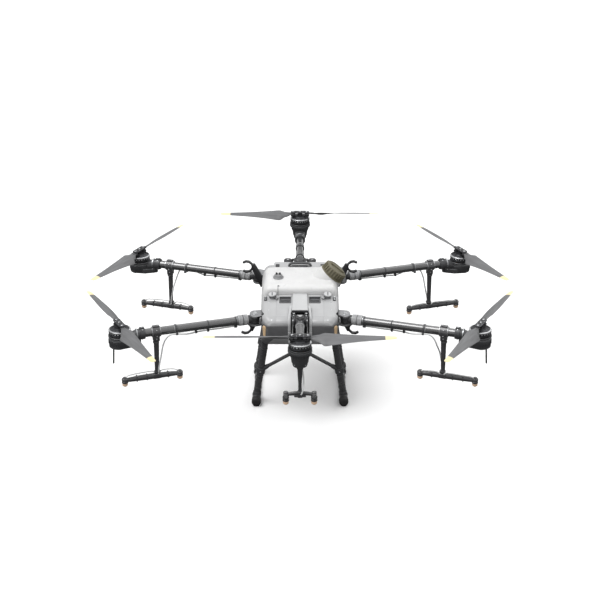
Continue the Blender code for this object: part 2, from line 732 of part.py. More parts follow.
def build_tank():
    """Hollow spray tank with a slanted filler neck on its right shoulder."""
    tank = tank_shape("tank", 0)
    seat = lid_frame()
    boss = moved(turned("boss", [(0.074, -0.070), (0.070, -0.0003)], 24), seat)
    clear = moved(turned("clear", [(0.082, 0), (0.082, 0.08)], 24), seat)
    neck = moved(turned("neck", [(NECK_R, -0.020), (NECK_R, NECK_H)], 24), seat)
    combine(tank, "UNION", boss)
    combine(tank, "DIFFERENCE", clear)
    combine(tank, "UNION", neck)
    inside = tank_shape("inside", WALL)
    mouth = moved(turned("mouth", [(MOUTH_R, -0.110), (MOUTH_R, 0.05)], 24), seat)
    combine(inside, "UNION", mouth)
    return combine(tank, "DIFFERENCE", inside)


def build_lid():
    """Screw cap with a ribbed skirt that goes over the neck."""
    low = GAP
    cap = turned("cap", [(LID_R - 0.004, low), (LID_R - 0.004, LID_H - 0.005), (LID_R - 0.012, LID_H)], 24)
    ribs = []
    for i in range(12):
        rib = box("rib", (LID_R - 0.010, -0.0065, low + 0.002), (LID_R, 0.0065, LID_H - 0.007))
        ribs.append(moved(rib, Matrix.Rotation(i * math.pi / 6, 4, "Z")))
    combine(cap, "UNION", *ribs)
    bar = box("bar", (-0.046, -0.009, LID_H - 0.004), (0.046, 0.009, LID_H + 0.006), 0.003)
    combine(cap, "UNION", bar)
    hollow = turned("hollow", [(NECK_R + 0.001, -0.01), (NECK_R + 0.001, NECK_H + 0.002)], 24)
    return moved(combine(cap, "DIFFERENCE", hollow), lid_frame())


def build_valve():
    """Breather valve on the tank's top, with two ports."""
    low = TANK_TOP + GAP
    body = turned("valve", [(0.029, low), (0.029, low + 0.006), (0.021, low + 0.012), (0.021, low + 0.022)], 16)
    ports = [moved(turned("port", [(0.0055, low + 0.010), (0.0055, low + 0.030)], 10), Matrix.Translation((x, 0, 0))) for x in (-0.009, 0.009)]
    combine(body, "UNION", *ports)
    return moved(body, Matrix.Translation((-0.120, -0.030, 0)))


# ---------------------------------------------------------------- landing gear


def mirrored(point, x, y):
    return Vector((point[0] * x, point[1] * y, point[2]))


def build_leg(x, y):
    """A splayed leg: a flange under the pan, the tube, and a collar round the skid."""
    top, foot = mirrored(LEG_TOP, x, y), mirrored(LEG_FOOT, x, y)
    leg = rod("leg", top, foot, LEG_R)
    near, far = sorted((x * 0.158, x * 0.204))
    flange = box("flange", (near, top.y - 0.026, PAN_LOW - 0.009), (far, top.y + 0.026, PAN_LOW - GAP), 0.002)
    collar = turned("collar", [(0.0245, -0.030), (0.0245, 0.030)])
    moved(collar, Matrix.Translation((x * SKID_X, foot.y, SKID_Z)) @ Matrix.Rotation(math.pi / 2, 4, "X"))
    combine(leg, "UNION", collar, flange)
    bore = rod("bore", (x * SKID_X, foot.y - 0.08, SKID_Z), (x * SKID_X, foot.y + 0.08, SKID_Z), SKID_R + GAP)
    return combine(leg, "DIFFERENCE", bore)


def build_skid(x):
    """A ground tube with a soft boot on each end. Each boot has a flat tread."""
    tube = rod("skid", (x * SKID_X, -SKID_HALF, SKID_Z), (x * SKID_X, SKID_HALF, SKID_Z), SKID_R)
    for y in (-1, 1):
        boot = turned("boot", [(0.020, -0.020), (BOOT_R, -0.014), (BOOT_R, 0.012), (0.018, 0.022)])
        turn = Matrix.Rotation(-y * math.pi / 2, 4, "X")
        moved(boot, Matrix.Translation((x * SKID_X, y * (SKID_HALF + 0.016), SKID_Z)) @ turn)
        middle = y * (SKID_HALF + 0.016)
        tread = box("tread", (x * SKID_X - 0.011, middle - 0.015, 0), (x * SKID_X + 0.011, middle + 0.015, 0.020))
        combine(tube, "UNION", boot, tread)
    return tube


def build_brace(y):
    """A V of two tubes from the pan's boss out to clamps on the two legs of one end."""
    low = KEEL_LOW - GAP - 0.022
    brace = box("plate", (-0.032, y * 0.200 - 0.024, low), (0.032, y * 0.200 + 0.024, KEEL_LOW - GAP), 0.003)
    level = 0.205
    for x in (-1, 1):
        top, foot = mirrored(LEG_TOP, x, y), mirrored(LEG_FOOT, x, y)
        along = (foot - top).normalized()
        joint = top + (foot - top) * ((top.z - level) / (top.z - foot.z))
        strut = rod("strut", (x * 0.020, y * 0.200, low + 0.011), joint, BRACE_R, 12)
        clamp = rod("clamp", joint - along * 0.018, joint + along * 0.018, LEG_R + 0.007)
        combine(brace, "UNION", strut, clamp)
        combine(brace, "DIFFERENCE", rod("bore", top - along * 0.03, foot, LEG_R + GAP))
    return brace


# ---------------------------------------------------------------- assembly


def main():
    for item in list(bpy.data.objects):
        bpy.data.objects.remove(item)
    paint = {name: make_material(name) for name in PALETTE}
    build_arms(paint)
    finish(build_center_frame(), "center_frame", paint["carbon"])
    finish(build_belly_pan(), "belly_pan", paint["dark_plastic"])
    finish(build_front_shell(), "front_shell", paint["white_plastic"])
    finish(build_rear_shell(), "rear_shell", paint["white_plastic"])
    finish(build_nose_spine(), "nose_spine", paint["white_plastic"])
    finish(build_camera(), "fpv_camera", paint["black_plastic"])
    finish(build_radar(), "radar_module", paint["black_plastic"])
    finish(build_pump(), "delivery_pump", paint["black_plastic"])
    finish(build_battery(), "battery_pack", paint["dark_plastic"])
    finish(build_tank(), "spray_tank", paint["tank_plastic"])
    finish(build_lid(), "tank_lid", paint["lid_plastic"])
    finish(build_valve(), "tank_valve", paint["black_plastic"])
    for x, side in ((-1, "left"), (1, "right")):
        finish(build_skid(x), "skid_" + side, paint["carbon"])
        for y, end in ((-1, "front"), (1, "rear")):
            finish(build_leg(x, y), f"leg_{end}_{side}", paint["carbon"])
    for y, end in ((-1, "front"), (1, "rear")):
        finish(build_brace(y), "leg_brace_" + end, paint["carbon"])


main()
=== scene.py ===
"""Looks of an agricultural spray drone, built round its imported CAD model."""

import json
import math

import bmesh
import bpy
from mathutils import Matrix, Vector
from mathutils.bvhtree import BVHTree


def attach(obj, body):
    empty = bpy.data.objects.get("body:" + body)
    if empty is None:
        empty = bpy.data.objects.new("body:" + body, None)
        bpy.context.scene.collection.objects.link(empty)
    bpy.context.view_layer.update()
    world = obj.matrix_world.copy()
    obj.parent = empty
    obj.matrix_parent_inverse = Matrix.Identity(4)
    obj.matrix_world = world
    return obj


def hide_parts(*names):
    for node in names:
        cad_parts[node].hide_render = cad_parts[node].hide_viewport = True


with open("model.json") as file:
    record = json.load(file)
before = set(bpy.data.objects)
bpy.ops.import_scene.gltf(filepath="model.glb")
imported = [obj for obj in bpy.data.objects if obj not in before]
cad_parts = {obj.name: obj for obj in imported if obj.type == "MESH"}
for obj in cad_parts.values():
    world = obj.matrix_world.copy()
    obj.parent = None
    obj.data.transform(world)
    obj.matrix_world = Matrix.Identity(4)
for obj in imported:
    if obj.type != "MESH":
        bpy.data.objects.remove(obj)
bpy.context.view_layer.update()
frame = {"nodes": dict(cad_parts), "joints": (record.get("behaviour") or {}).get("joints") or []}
JOINTS = {joint["name"]: joint for joint in frame["joints"]}

ARMS = {
    "front_left": (-1, -1),
    "front_right": (1, -1),
    "rear_left": (-1, 1),
    "rear_right": (1, 1),
    "nose": (0, -1),
    "tail": (0, 1),
}
COUNTER_CLOCKWISE = ("nose", "front_left", "rear_right")

# Sizes that the CAD solids share with these pieces, in metres
TUBE_R = 0.0225
TUBE_SHORT = 0.085
PIN_REACH = 0.04
PROP_R = 0.4826
PROP_PITCH = 0.508
MOST_PITCH = math.radians(30)
ROOT_T = 0.014
BELL_H = 0.042
CLAMP_T = 0.005
GAP = 0.0003  # clearance between parts that move on each other
BLADE_RISE = BELL_H + CLAMP_T + GAP + ROOT_T / 2
SIDE_SEAT, END_SEAT = 0.012, 0.072
BELL_GAP = 0.002
LANCE_DROP, LANCE_IN, LANCE_OUT = 0.265, 0.12, 0.18
LANCE_BACK = 0.192  # from the motor back to the lance
END_LANCE_DROP, END_LANCE_HALF = 0.195, 0.072
SIDE_REST = math.radians(10.7)


# ---------------------------------------------------------------- node materials


class Shader:
    """A material under construction, with short calls for the nodes that it uses."""

    def __init__(self, name, source="Object"):
        self.source = source
        self.material = bpy.data.materials.new(name)
        self.material.use_nodes = True
        self.tree = self.material.node_tree
        self.shader = self.tree.nodes["Principled BSDF"]
        self.height = None

    def node(self, kind, **inputs):
        made = self.tree.nodes.new(kind)
        for key, value in inputs.items():
            self.put(made, key.replace("_", " "), value)
        return made

    def put(self, node, key, value):
        if isinstance(value, bpy.types.NodeSocket):
            self.tree.links.new(value, node.inputs[key])
        else:
            node.inputs[key].default_value = value

    def coordinates(self, scale=(1, 1, 1)):
        place = self.node("ShaderNodeMapping", Scale=scale)
        source = self.node("ShaderNodeTexCoord")
        self.tree.links.new(source.outputs[self.source], place.inputs["Vector"])
        return place.outputs["Vector"]

    def noise(self, scale, detail=3.0, stretch=(1, 1, 1), roughness=0.55):
        made = self.node("ShaderNodeTexNoise", Scale=scale, Detail=detail, Roughness=roughness)
        self.tree.links.new(self.coordinates(stretch), made.inputs["Vector"])
        return made.outputs["Fac"]

    def ramp(self, value, low, high, start=0.0, end=1.0):
        made = self.node("ShaderNodeMapRange")
        made.inputs["From Min"].default_value = start
        made.inputs["From Max"].default_value = end
        made.inputs["To Min"].default_value = low
        made.inputs["To Max"].default_value = high
        self.tree.links.new(value, made.inputs["Value"])
        return made.outputs["Result"]

    def mix(self, factor, one, other):
        made = self.tree.nodes.new("ShaderNodeMix")
        made.data_type = "RGBA"
        for index, value in ((0, factor), (6, one), (7, other)):
            if isinstance(value, bpy.types.NodeSocket):
                self.tree.links.new(value, made.inputs[index])
            elif index == 0:
                made.inputs[0].default_value = value
            else:
                made.inputs[index].default_value = (*value[:3], 1)
        return made.outputs[2]

    def maths(self, operation, one, other=0.0):
        made = self.tree.nodes.new("ShaderNodeMath")
        made.operation = operation
        for index, value in ((0, one), (1, other)):
            if isinstance(value, bpy.types.NodeSocket):
                self.tree.links.new(value, made.inputs[index])
            else:
                made.inputs[index].default_value = value
        return made.outputs[0]

    def bump(self, height, strength, distance):
        made = self.node("ShaderNodeBump", Strength=strength, Distance=distance)
        self.tree.links.new(height, made.inputs["Height"])
        if self.height is not None:
            self.tree.links.new(self.height, made.inputs["Normal"])
        self.height = made.outputs["Normal"]
        self.put(self.shader, "Normal", self.height)

    def edge_wear(self):
        """0 on flat parts and 1 on sharp outer edges."""
        geometry = self.tree.nodes.new("ShaderNodeNewGeometry")
        return self.ramp(geometry.outputs["Pointiness"], 0, 1, 0.52, 0.6)

    def finish(self, colour, roughness, **others):
        self.put(self.shader, "Base Color", colour if isinstance(colour, bpy.types.NodeSocket)
            else (*colour, 1))
        self.put(self.shader, "Roughness", roughness)
        for key, value in others.items():
            self.put(self.shader, key.replace("_", " "), value)
        return self.material


def shade(colour, factor):
    return tuple(min(1.0, channel * factor) for channel in colour)


def moulded(name, colour, roughness=0.45, grain=900, depth=0.00012, wear=0.35, coat=0.0, spread=0.1):
    """Moulded plastic: fine spark-eroded grain, soft mottling and paler rubbed edges."""
    m = Shader(name)
    cloud = m.noise(14, 4)
    base = m.mix(m.ramp(cloud, 0, 1, 0.3, 0.7), shade(colour, 1 - spread), shade(colour, 1 + spread))
    scuff = m.maths("MULTIPLY", m.edge_wear(), m.ramp(m.noise(90, 5), 0, 1, 0.42, 0.66))
    worn = m.mix(m.maths("MULTIPLY", scuff, wear), base,
        shade(colour, 2.2) if max(colour) < 0.4 else shade(colour, 0.86))
    m.bump(m.noise(grain, 2), 0.35, depth)
    rough = m.ramp(m.noise(45, 4), roughness - 0.07, roughness + 0.09, 0.25, 0.75)
    return m.finish(worn, rough, Coat_Weight=coat, Coat_Roughness=0.18)


def carbon(name):
    """Clear-coated twill: bands that step round the tube, with fine tows across them."""
    m = Shader(name)
    split = m.node("ShaderNodeSeparateXYZ")
    m.tree.links.new(m.coordinates(), split.inputs[0])
    angle = m.maths("ARCTAN2", split.outputs["Z"], split.outputs["Y"])
    across = m.maths("MULTIPLY", angle, TUBE_R / 0.0032)
    along = m.maths("MULTIPLY", split.outputs["X"], 1 / 0.0032)
    twill = m.maths("FRACT", m.maths("MULTIPLY",
        m.maths("ADD", m.maths("FLOOR", across), m.maths("FLOOR", along)), 0.25))
    over = m.maths("GREATER_THAN", twill, 0.49)
    tow_a = m.maths("ABSOLUTE", m.maths("SINE", m.maths("MULTIPLY", across, math.pi)))
    tow_b = m.maths("ABSOLUTE", m.maths("SINE", m.maths("MULTIPLY", along, math.pi)))
    height = m.maths("ADD", m.maths("MULTIPLY", tow_a, over),
        m.maths("MULTIPLY", tow_b, m.maths("SUBTRACT", 1.0, over)))
    colour = m.mix(over, (0.012, 0.012, 0.014), (0.032, 0.033, 0.036))
    colour = m.mix(m.ramp(m.noise(30, 3), 0, 0.35, 0.4, 0.75), colour, (0.045, 0.045, 0.048))
    m.bump(height, 0.25, 0.00015)
    rough = m.ramp(m.noise(60, 4), 0.24, 0.36, 0.3, 0.7)
    return m.finish(colour, rough, Coat_Weight=1.0, Coat_Roughness=0.14, Coat_IOR=2.1)


def metal(name, colour, roughness=0.3, metallic=1.0, brushed=(1, 1, 40)):
    """Turned metal, with faint tool lines."""
    m = Shader(name)
    lines = m.noise(60, 4, brushed)
    base = m.mix(m.ramp(lines, 0, 1, 0.3, 0.7), shade(colour, 0.82), shade(colour, 1.15))
    m.bump(lines, 0.1, 0.0001)
    rough = m.ramp(m.noise(80, 3), roughness - 0.06, roughness + 0.1, 0.3, 0.7)
    return m.finish(base, rough, Metallic=metallic)


def tank_plastic(name):
    """Milky blow-moulded polyethylene, a little waxy, with flow clouds."""
    m = Shader(name)
    cloud = m.noise(9, 5)
    base = m.mix(m.ramp(cloud, 0, 1, 0.3, 0.72), (0.6, 0.6, 0.596), (0.68, 0.68, 0.677))
    specks = m.ramp(m.noise(260, 2), 0, 0.1, 0.66, 0.8)
    base = m.mix(specks, base, (0.62, 0.62, 0.6))
    m.bump(m.noise(420, 2), 0.18, 0.0002)
    m.bump(m.noise(22, 2), 0.12, 0.0012)
    rough = m.ramp(m.noise(35, 4), 0.26, 0.42, 0.3, 0.7)
    return m.finish(
        base, rough, Subsurface_Weight=0.35, Subsurface_Radius=(0.03, 0.03, 0.028), Subsurface_Scale=0.5
    )


def blade_material(name, low, high):
    """Fibre-filled nylon: streaks along the blade, pitted and scuffed."""
    m = Shader(name, "UV")
    streaks = m.noise(70, 5, (0.12, 1, 1))
    base = m.mix(m.ramp(streaks, 0, 1, 0.3, 0.7), low, high)
    chips = m.maths("MULTIPLY", m.edge_wear(), m.ramp(m.noise(150, 4), 0, 1, 0.45, 0.62))
    base = m.mix(m.maths("MULTIPLY", chips, 0.35), base, shade(high, 1.7))
    m.bump(m.noise(1100, 2), 0.3, 0.0001)
    rough = m.ramp(m.noise(55, 4, (0.3, 1, 1)), 0.36, 0.54, 0.3, 0.7)
    return m.finish(base, rough)


def silicone(name):
    """Translucent hose."""
    m = Shader(name)
    base = m.mix(m.noise(40, 3), (0.74, 0.75, 0.75), (0.86, 0.87, 0.87))
    m.bump(m.noise(600, 2), 0.1, 0.0001)
    return m.finish(base, 0.24, Transmission_Weight=0.15, IOR=1.41, Coat_Weight=0.3, Coat_Roughness=0.1)


def glass(name):
    m = Shader(name)
    rough = m.ramp(m.noise(120, 2), 0.03, 0.09)
    return m.finish((0.012, 0.014, 0.02), rough, Coat_Weight=1.0, Coat_Roughness=0.03)


PAINT = {
    "carbon": carbon("carbon_twill"),
    "black": moulded("black_nylon", (0.02, 0.02, 0.022), 0.42, wear=0.6),
    "dark": moulded("dark_nylon", (0.05, 0.051, 0.054), 0.33, wear=0.5),
    "band": moulded("band_grey", (0.115, 0.116, 0.12), 0.44, wear=0.3),
    "ledge": moulded("ledge_grey", (0.36, 0.362, 0.368), 0.44, wear=0.3),
    "grip": moulded("grip_grey", (0.125, 0.126, 0.13), 0.6, 1500, 0.0002),
    "shell": moulded("shell_white", (0.4, 0.403, 0.408), 0.34, 1300, 0.00006, 0.25, 0.25, 0.03),
    "spine": moulded("spine_grey", (0.47, 0.475, 0.48), 0.36, 1300, 0.00006, 0.25, 0.2, 0.03),
    "tank": tank_plastic("tank_polyethylene"),
    "lid": moulded("lid_khaki", (0.135, 0.122, 0.078), 0.52, 1000, 0.0002, 0.5),
    "blade": blade_material("blade_nylon", (0.105, 0.106, 0.109), (0.15, 0.152, 0.157)),
    "tip": blade_material("blade_tip_yellow", (0.79, 0.66, 0.35), (0.87, 0.76, 0.48)),
    "bell": metal("anodised_black", (0.06, 0.061, 0.066), 0.34, 0.75),
    "steel": metal("bright_steel", (0.6, 0.61, 0.62), 0.26),
    "alloy": metal("satin_alloy", (0.42, 0.43, 0.44), 0.34),
    "copper": metal("winding_copper", (0.36, 0.17, 0.08), 0.4, 0.9, (40, 40, 1)),
    "orange": moulded("nozzle_orange", (0.87, 0.62, 0.43), 0.38, 900, 0.0001, 0.2),
    "strip": moulded("strip_amber", (0.82, 0.58, 0.34), 0.3, 900, 0.0001, 0.1, 0.4),
    "hose": silicone("clear_silicone"),
    "valve": moulded("valve_grey", (0.26, 0.262, 0.268), 0.42, 1200, 0.0001, 0.3),
    "sleeve": moulded("sleeve_grey", (0.36, 0.363, 0.37), 0.34, 1200, 0.0001, 0.4, 0.2),
    "fork": moulded("fork_plate_grey", (0.21, 0.213, 0.22), 0.38, 1200, 0.0001, 0.5, 0.2),
    "leg": moulded("leg_black", (0.05, 0.05, 0.053), 0.22, 1200, 0.00006, 0.4, 1.0),
    "rubber": moulded("boot_rubber", (0.014, 0.014, 0.015), 0.68, 500, 0.0003, 0.5),
    "glass": glass("lens_glass"),
}


# ---------------------------------------------------------------- mesh tools

shift = Matrix.Translation


def rotated(angle, axis):
    return Matrix.Rotation(angle, 4, axis)


def new_object(name, builder, material, angle=40, matrix=None):
    bmesh.ops.recalc_face_normals(builder, faces=builder.faces)
    mesh = bpy.data.meshes.new(name)
    builder.to_mesh(mesh)
    builder.free()
    materials = material if isinstance(material, (list, tuple)) else [material]
    for key in materials:
        mesh.materials.append(PAINT[key])
    mesh.shade_smooth()
    mesh.set_sharp_from_angle(angle=math.radians(angle))
    made = bpy.data.objects.new(name, mesh)
    bpy.context.scene.collection.objects.link(made)
    if matrix is not None:
        made.matrix_world = matrix
    return made


def skin(builder, rings, cap_start=True, cap_end=True, closed=True, material=0):
    """Faces between rings of equally many points."""
    made = [[builder.verts.new(point) for point in ring] for ring in rings]
    count = len(made[0])
    for low, high in zip(made, made[1:]):
        for i in range(count if closed else count - 1):
            j = (i + 1) % count
            face = builder.faces.new((low[i], low[j], high[j], high[i]))
            face.material_index = material
    if cap_start:
        builder.faces.new(list(reversed(made[0]))).material_index = material
    if cap_end:
        builder.faces.new(made[-1]).material_index = material
    return made


def add_turned(builder, profile, sides=48, matrix=Matrix(), material=0):
    """A turned part from (radius, height) pairs."""
    rings = []
    for radius, height in profile:
        ring = []
        for i in range(sides):
            angle = 2 * math.pi * i / sides
            ring.append(matrix @ Vector((radius * math.cos(angle), radius * math.sin(angle), height)))
        rings.append(ring)
    skin(builder, rings, material=material)


def add_rod(builder, start, end, radius, sides=32, end_radius=None, ease=0.0008, material=0):
    """A round bar between two points, with eased ends."""
    start, end = Vector(start), Vector(end)
    axis = end - start
    last = radius if end_radius is None else end_radius
    matrix = shift(start) @ axis.to_track_quat("Z", "Y").to_matrix().to_4x4()
    length = axis.length
    profile = [(radius - ease, 0), (radius, ease), (last, length - ease), (last - ease, length)]
    add_turned(builder, profile, sides, matrix, material)


def add_box(builder, low, high, bevel=0.0015, matrix=Matrix(), segments=2, material=0):
    """A block with rounded edges."""
    part = bmesh.new()
    size = Vector(high) - Vector(low)
    centre = (Vector(high) + Vector(low)) / 2
    bmesh.ops.create_cube(part, size=1, matrix=shift(centre) @ Matrix.Diagonal((*size, 1)))
    bevel = min(bevel, 0.48 * min(size))
    bmesh.ops.bevel(part, geom=part.edges[:], offset=bevel, segments=segments, profile=0.6, affect="EDGES")
    for face in part.faces:
        face.material_index = material
    part.transform(matrix)
    merge(builder, part)


def merge(builder, part):
    """Copies one bmesh into another, and frees it."""
    made = {}
    for vertex in part.verts:
        made[vertex] = builder.verts.new(vertex.co)
    for face in part.faces:
        copy = builder.faces.new([made[v] for v in face.verts])
        copy.material_index = face.material_index
    part.free()


def add_slab(builder, outline, low, high, bevel=0.0015, matrix=Matrix(), material=0, segments=2):
    """An outline in X and Y, drawn out along Z, with rounded edges."""
    part = bmesh.new()
    skin(part, [[(x, y, z) for x, y in outline] for z in (low, high)])
    bmesh.ops.recalc_face_normals(part, faces=part.faces)
    sharp = [e for e in part.edges if e.calc_face_angle(0) > math.radians(60)]
    if bevel:
        bmesh.ops.bevel(part, geom=sharp, offset=bevel, segments=segments, profile=0.6, affect="EDGES")
    for face in part.faces:
        face.material_index = material
    part.transform(matrix)
    merge(builder, part)


def add_bolt(builder, place, radius=0.0035, height=0.0025, material=0):
    """A socket screw's head. place has Z along the screw."""
    profile = [(radius, 0), (radius, height * 0.75), (radius * 0.85, height)]
    profile += [(radius * 0.52, height), (radius * 0.48, height * 0.35), (0.0001, height * 0.3)]
    add_turned(builder, profile, 14, place, material)


def pointing(position, direction):
    """A frame at a position, with Z along a direction."""
    turn = Vector(direction).to_track_quat("Z", "Y").to_matrix().to_4x4()
    return shift(position) @ turn


def arc(centre, radius, start, end, steps):
    """Points on a circle in X and Y, with angles in degrees."""
    points = []
    for i in range(steps + 1):
        angle = math.radians(start + (end - start) * i / steps)
        points.append((centre[0] + radius * math.cos(angle), centre[1] + radius * math.sin(angle)))
    return points


def smooth_path(points, steps=8):
    """Catmull-Rom points through the given ones."""
    points = [Vector(p) for p in points]
    padded = [2 * points[0] - points[1], *points, 2 * points[-1] - points[-2]]
    made = []
    for a, b, c, d in zip(padded, padded[1:], padded[2:], padded[3:]):
        for i in range(steps):
            t = i / steps
            made.append(
                0.5 * ((2 * b) + (c - a) * t + (2 * a - 5 * b + 4 * c - d) * t**2 + (3 * b - a - 3 * c + d) * t**3)
            )
    made.append(points[-1])
    return made


def add_tube(builder, path, radius, sides=14, material=0):
    """A round tube that follows a path. radius is a number or a list of one a point."""
    radii = radius if isinstance(radius, (list, tuple)) else [radius] * len(path)
    rings, normal = [], None
    for i, point in enumerate(path):
        ahead = path[min(i + 1, len(path) - 1)] - path[max(i - 1, 0)]
        ahead.normalize()
        if normal is None:
            normal = ahead.orthogonal().normalized()
        normal = (normal - ahead * normal.dot(ahead)).normalized()
        side = ahead.cross(normal)
        ring = []
        for k in range(sides):
            angle = 2 * math.pi * k / sides
            ring.append(point + radii[i] * (math.cos(angle) * normal + math.sin(angle) * side))
        rings.append(ring)
    skin(builder, rings, material=material)


def path_length(path):
    return sum((b - a).length for a, b in zip(path, path[1:]))


# ---------------------------------------------------------------- where the arms are


def arm_frame(arm):
    """The arm's own frame: the origin on its hinge and +X out to its motor. Also its length."""
    hinge = Vector(JOINTS["arm_fold_" + arm]["pos_m"])
    motor = Vector(JOINTS["rotor_spin_" + arm]["pos_m"])
    out = motor - hinge
    return shift(hinge) @ rotated(math.atan2(out.y, out.x), "Z"), out.to_2d().length


def seat_of(arm):
    return SIDE_SEAT if ARMS[arm][0] else END_SEAT


def spin_frame(arm):
    """The rotor's frame, on the foot of the motor's bell, with X along the resting blades."""
    place, length = arm_frame(arm)
    rest = math.pi / 2 + ARMS[arm][0] * ARMS[arm][1] * SIDE_REST
    return place @ shift((length, 0, seat_of(arm) + BELL_GAP)) @ rotated(rest, "Z")


# ---------------------------------------------------------------- propellers

STATIONS = [  # share of the radius, chord, thickness
    (0.142, 0.032, 0.012),
    (0.185, 0.044, 0.01),
    (0.26, 0.08, 0.008),
    (0.42, 0.068, 0.006),
    (0.64, 0.05, 0.005),
    (0.95, 0.028, 0.003),
    (1.0, 0.014, 0.002),
]
TIP_LENGTH = 0.058
SECTION = 26  # points round a blade


def station(share):
    """Chord and thickness at a share of the radius, on a smooth curve through the stations."""
    for (a, chord_a, thick_a), (b, chord_b, thick_b) in zip(STATIONS, STATIONS[1:]):
        if share <= b:
            t = (share - a) / (b - a)
            ease = t * t * (3 - 2 * t) if a < 0.2 else t
            if b == 1.0:
                ease = 1 - math.sqrt(max(0.0, 1 - t * t))
            return chord_a + (chord_b - chord_a) * ease, thick_a + (thick_b - thick_a) * t
    return STATIONS[-1][1:]


def aerofoil(radius, chord, thickness, hand):
    """A cambered section, pitched for its radius."""
    pitch = min(math.atan2(PROP_PITCH, 2 * math.pi * radius), MOST_PITCH)
    across = Vector((0, hand * math.cos(pitch), math.sin(pitch)))
    up = Vector((0, -hand * math.sin(pitch), math.cos(pitch)))
    points = []
    for i in range(SECTION):
        angle = 2 * math.pi * i / SECTION
        along = 0.5 * (1 + math.cos(angle))  # 1 at the leading edge, 0 at the trailing edge
        half = 0.5 * thickness * math.sqrt(max(0,
            along)) ** 0.8 * (1.15 - 0.75 * along * along) * abs(math.sin(angle)) ** 0.65
        camber = 0.045 * chord * math.sin(math.pi * along)
        height = camber + (half if angle < math.pi else -half * 0.8)
        point = across * (along - 0.68) * chord + up * height
        points.append((radius - PIN_REACH, point.y, point.z))
    return points


def blade_mesh(hand):
    builder = bmesh.new()
    rings = []
    for i in range(8):  # the root, which swells from a rounded shank into the first section
        t = i / 8
        x = 0.004 + t * 0.0245
        target = aerofoil(PROP_R * STATIONS[0][0], STATIONS[0][1], STATIONS[0][2], hand)
        ring = []
        for k, point in enumerate(target):
            angle = 2 * math.pi * k / SECTION
            shank = Vector((x, hand * 0.0088 * math.cos(angle), 0.0056 * math.sin(angle)))
            blend = t**1.6
            ring.append((x, shank.y * (1 - blend) + point[1] * blend,
                shank.z * (1 - blend) + point[2] * blend))
        rings.append(ring)
    first = STATIONS[0][0]
    steps = 54
    shares = [first + (1 - first) * (i / steps) for i in range(steps)] + [0.988, 0.995, 0.9985, 1.0]
    tip_share = 1 - TIP_LENGTH / PROP_R
    for share in sorted(set(shares + [tip_share, tip_share + 0.001])):
        chord, thickness = station(share)
        rings.append(aerofoil(PROP_R * share, chord, thickness, hand))
    skin(builder, rings)
    edge = PROP_R - TIP_LENGTH - PIN_REACH
    for face in builder.faces:
        if face.calc_center_median().x > edge:
            face.material_index = 1
    eye = [(0.0095, -ROOT_T / 2), (0.011, -ROOT_T / 2 + 0.0012), (0.011, ROOT_T / 2 - 0.0012),
        (0.0095, ROOT_T / 2)]
    add_turned(builder, eye, 32)
    for side in (-1, 1):  # raised ribs that brace the root
        path = [Vector((0.01 + 0.012 * i, side * hand * (0.0055 - 0.0006 * i), 0.0045 + 0.0004 * i))
            for i in range(4)]
        add_tube(builder, path, [0.0014, 0.0016, 0.0012, 0.0004], 8)
    layer = builder.loops.layers.uv.new("span")
    for face in builder.faces:
        for loop in face.loops:
            loop[layer].uv = (loop.vert.co.x, loop.vert.co.y)
    return new_object("blade", builder, ["blade", "tip"], 35)


def rotor_mesh():
    """Motor bell with its vents and bands, the two clamp plates, the pins and their screws."""
    builder = bmesh.new()
    bell = [(0.05, 0.0), (0.0555, 0.0005), (0.058, 0.003), (0.058, 0.009), (0.0565, 0.01), (0.0565, 0.012)]
    bell += [(0.058, 0.013), (0.058, 0.0235), (0.0574, 0.0262), (0.0555, 0.028)]
    bell += [(0.052, 0.0305), (0.047, 0.0345), (0.034, 0.036), (0.032, 0.0385), (0.03, BELL_H)]
    add_turned(builder, bell, 72)
    rim = [(0.0565, 0.0232), (0.0586, 0.024), (0.0586, 0.0282), (0.0566, 0.0308), (0.052, 0.0318),
        (0.051, 0.03)]
    add_turned(builder, rim, 72, material=3)
    for i in range(12):  # cooling vents in the crown
        turn = rotated(i * math.pi / 6 + 0.13, "Z") @ shift((0.0425, 0, 0.0352))
        slope = turn @ rotated(math.radians(12), "Y")
        add_box(builder, (-0.0062, -0.0036, -0.0012), (0.0062, 0.0036, 0.0014), 0.001, slope, 1, 2)
    for i in range(24):  # magnet ring seen through the side slots
        turn = rotated(i * math.pi / 12, "Z")
        add_box(builder, (0.0555, -0.003, 0.0145), (0.0585, 0.003, 0.0215), 0.0006, turn, 1, 3)
    top = BELL_H + CLAMP_T + 2 * GAP + ROOT_T
    outline = arc((0.037, 0), 0.019, -90, 90, 12) + arc((-0.037, 0), 0.019, 90, 270, 12)
    add_slab(builder, outline, BELL_H - 0.002, BELL_H + CLAMP_T, 0.0012)
    add_slab(builder, outline, top, top + CLAMP_T, 0.0016)
    inner = arc((0.028, 0), 0.011, -90, 90, 10) + arc((-0.028, 0), 0.011, 90, 270, 10)
    add_slab(builder, inner, top + 0.0045, top + 0.0062, 0.0007, material=2)
    add_turned(builder, [(0.015, BELL_H), (0.015, top)], 32)
    for x in (-PIN_REACH, PIN_REACH):
        add_turned(builder, [(0.004, BELL_H), (0.004, top + 0.001)], 20, shift((x, 0, 0)), 3)
        add_bolt(builder, shift((x, 0, top + 0.0045)), 0.0068, 0.0038, 3)
        for y in (-0.012, 0.012):
            add_bolt(builder, shift((x * 0.45, y, top + 0.0045)), 0.0026, 0.0022, 3)
    add_bolt(builder, shift((0, 0, top + 0.0055)), 0.006, 0.003, 3)
    return new_object("rotor", builder, ["bell", "alloy", "black", "steel"], 35)


# ---------------------------------------------------------------- motor housings


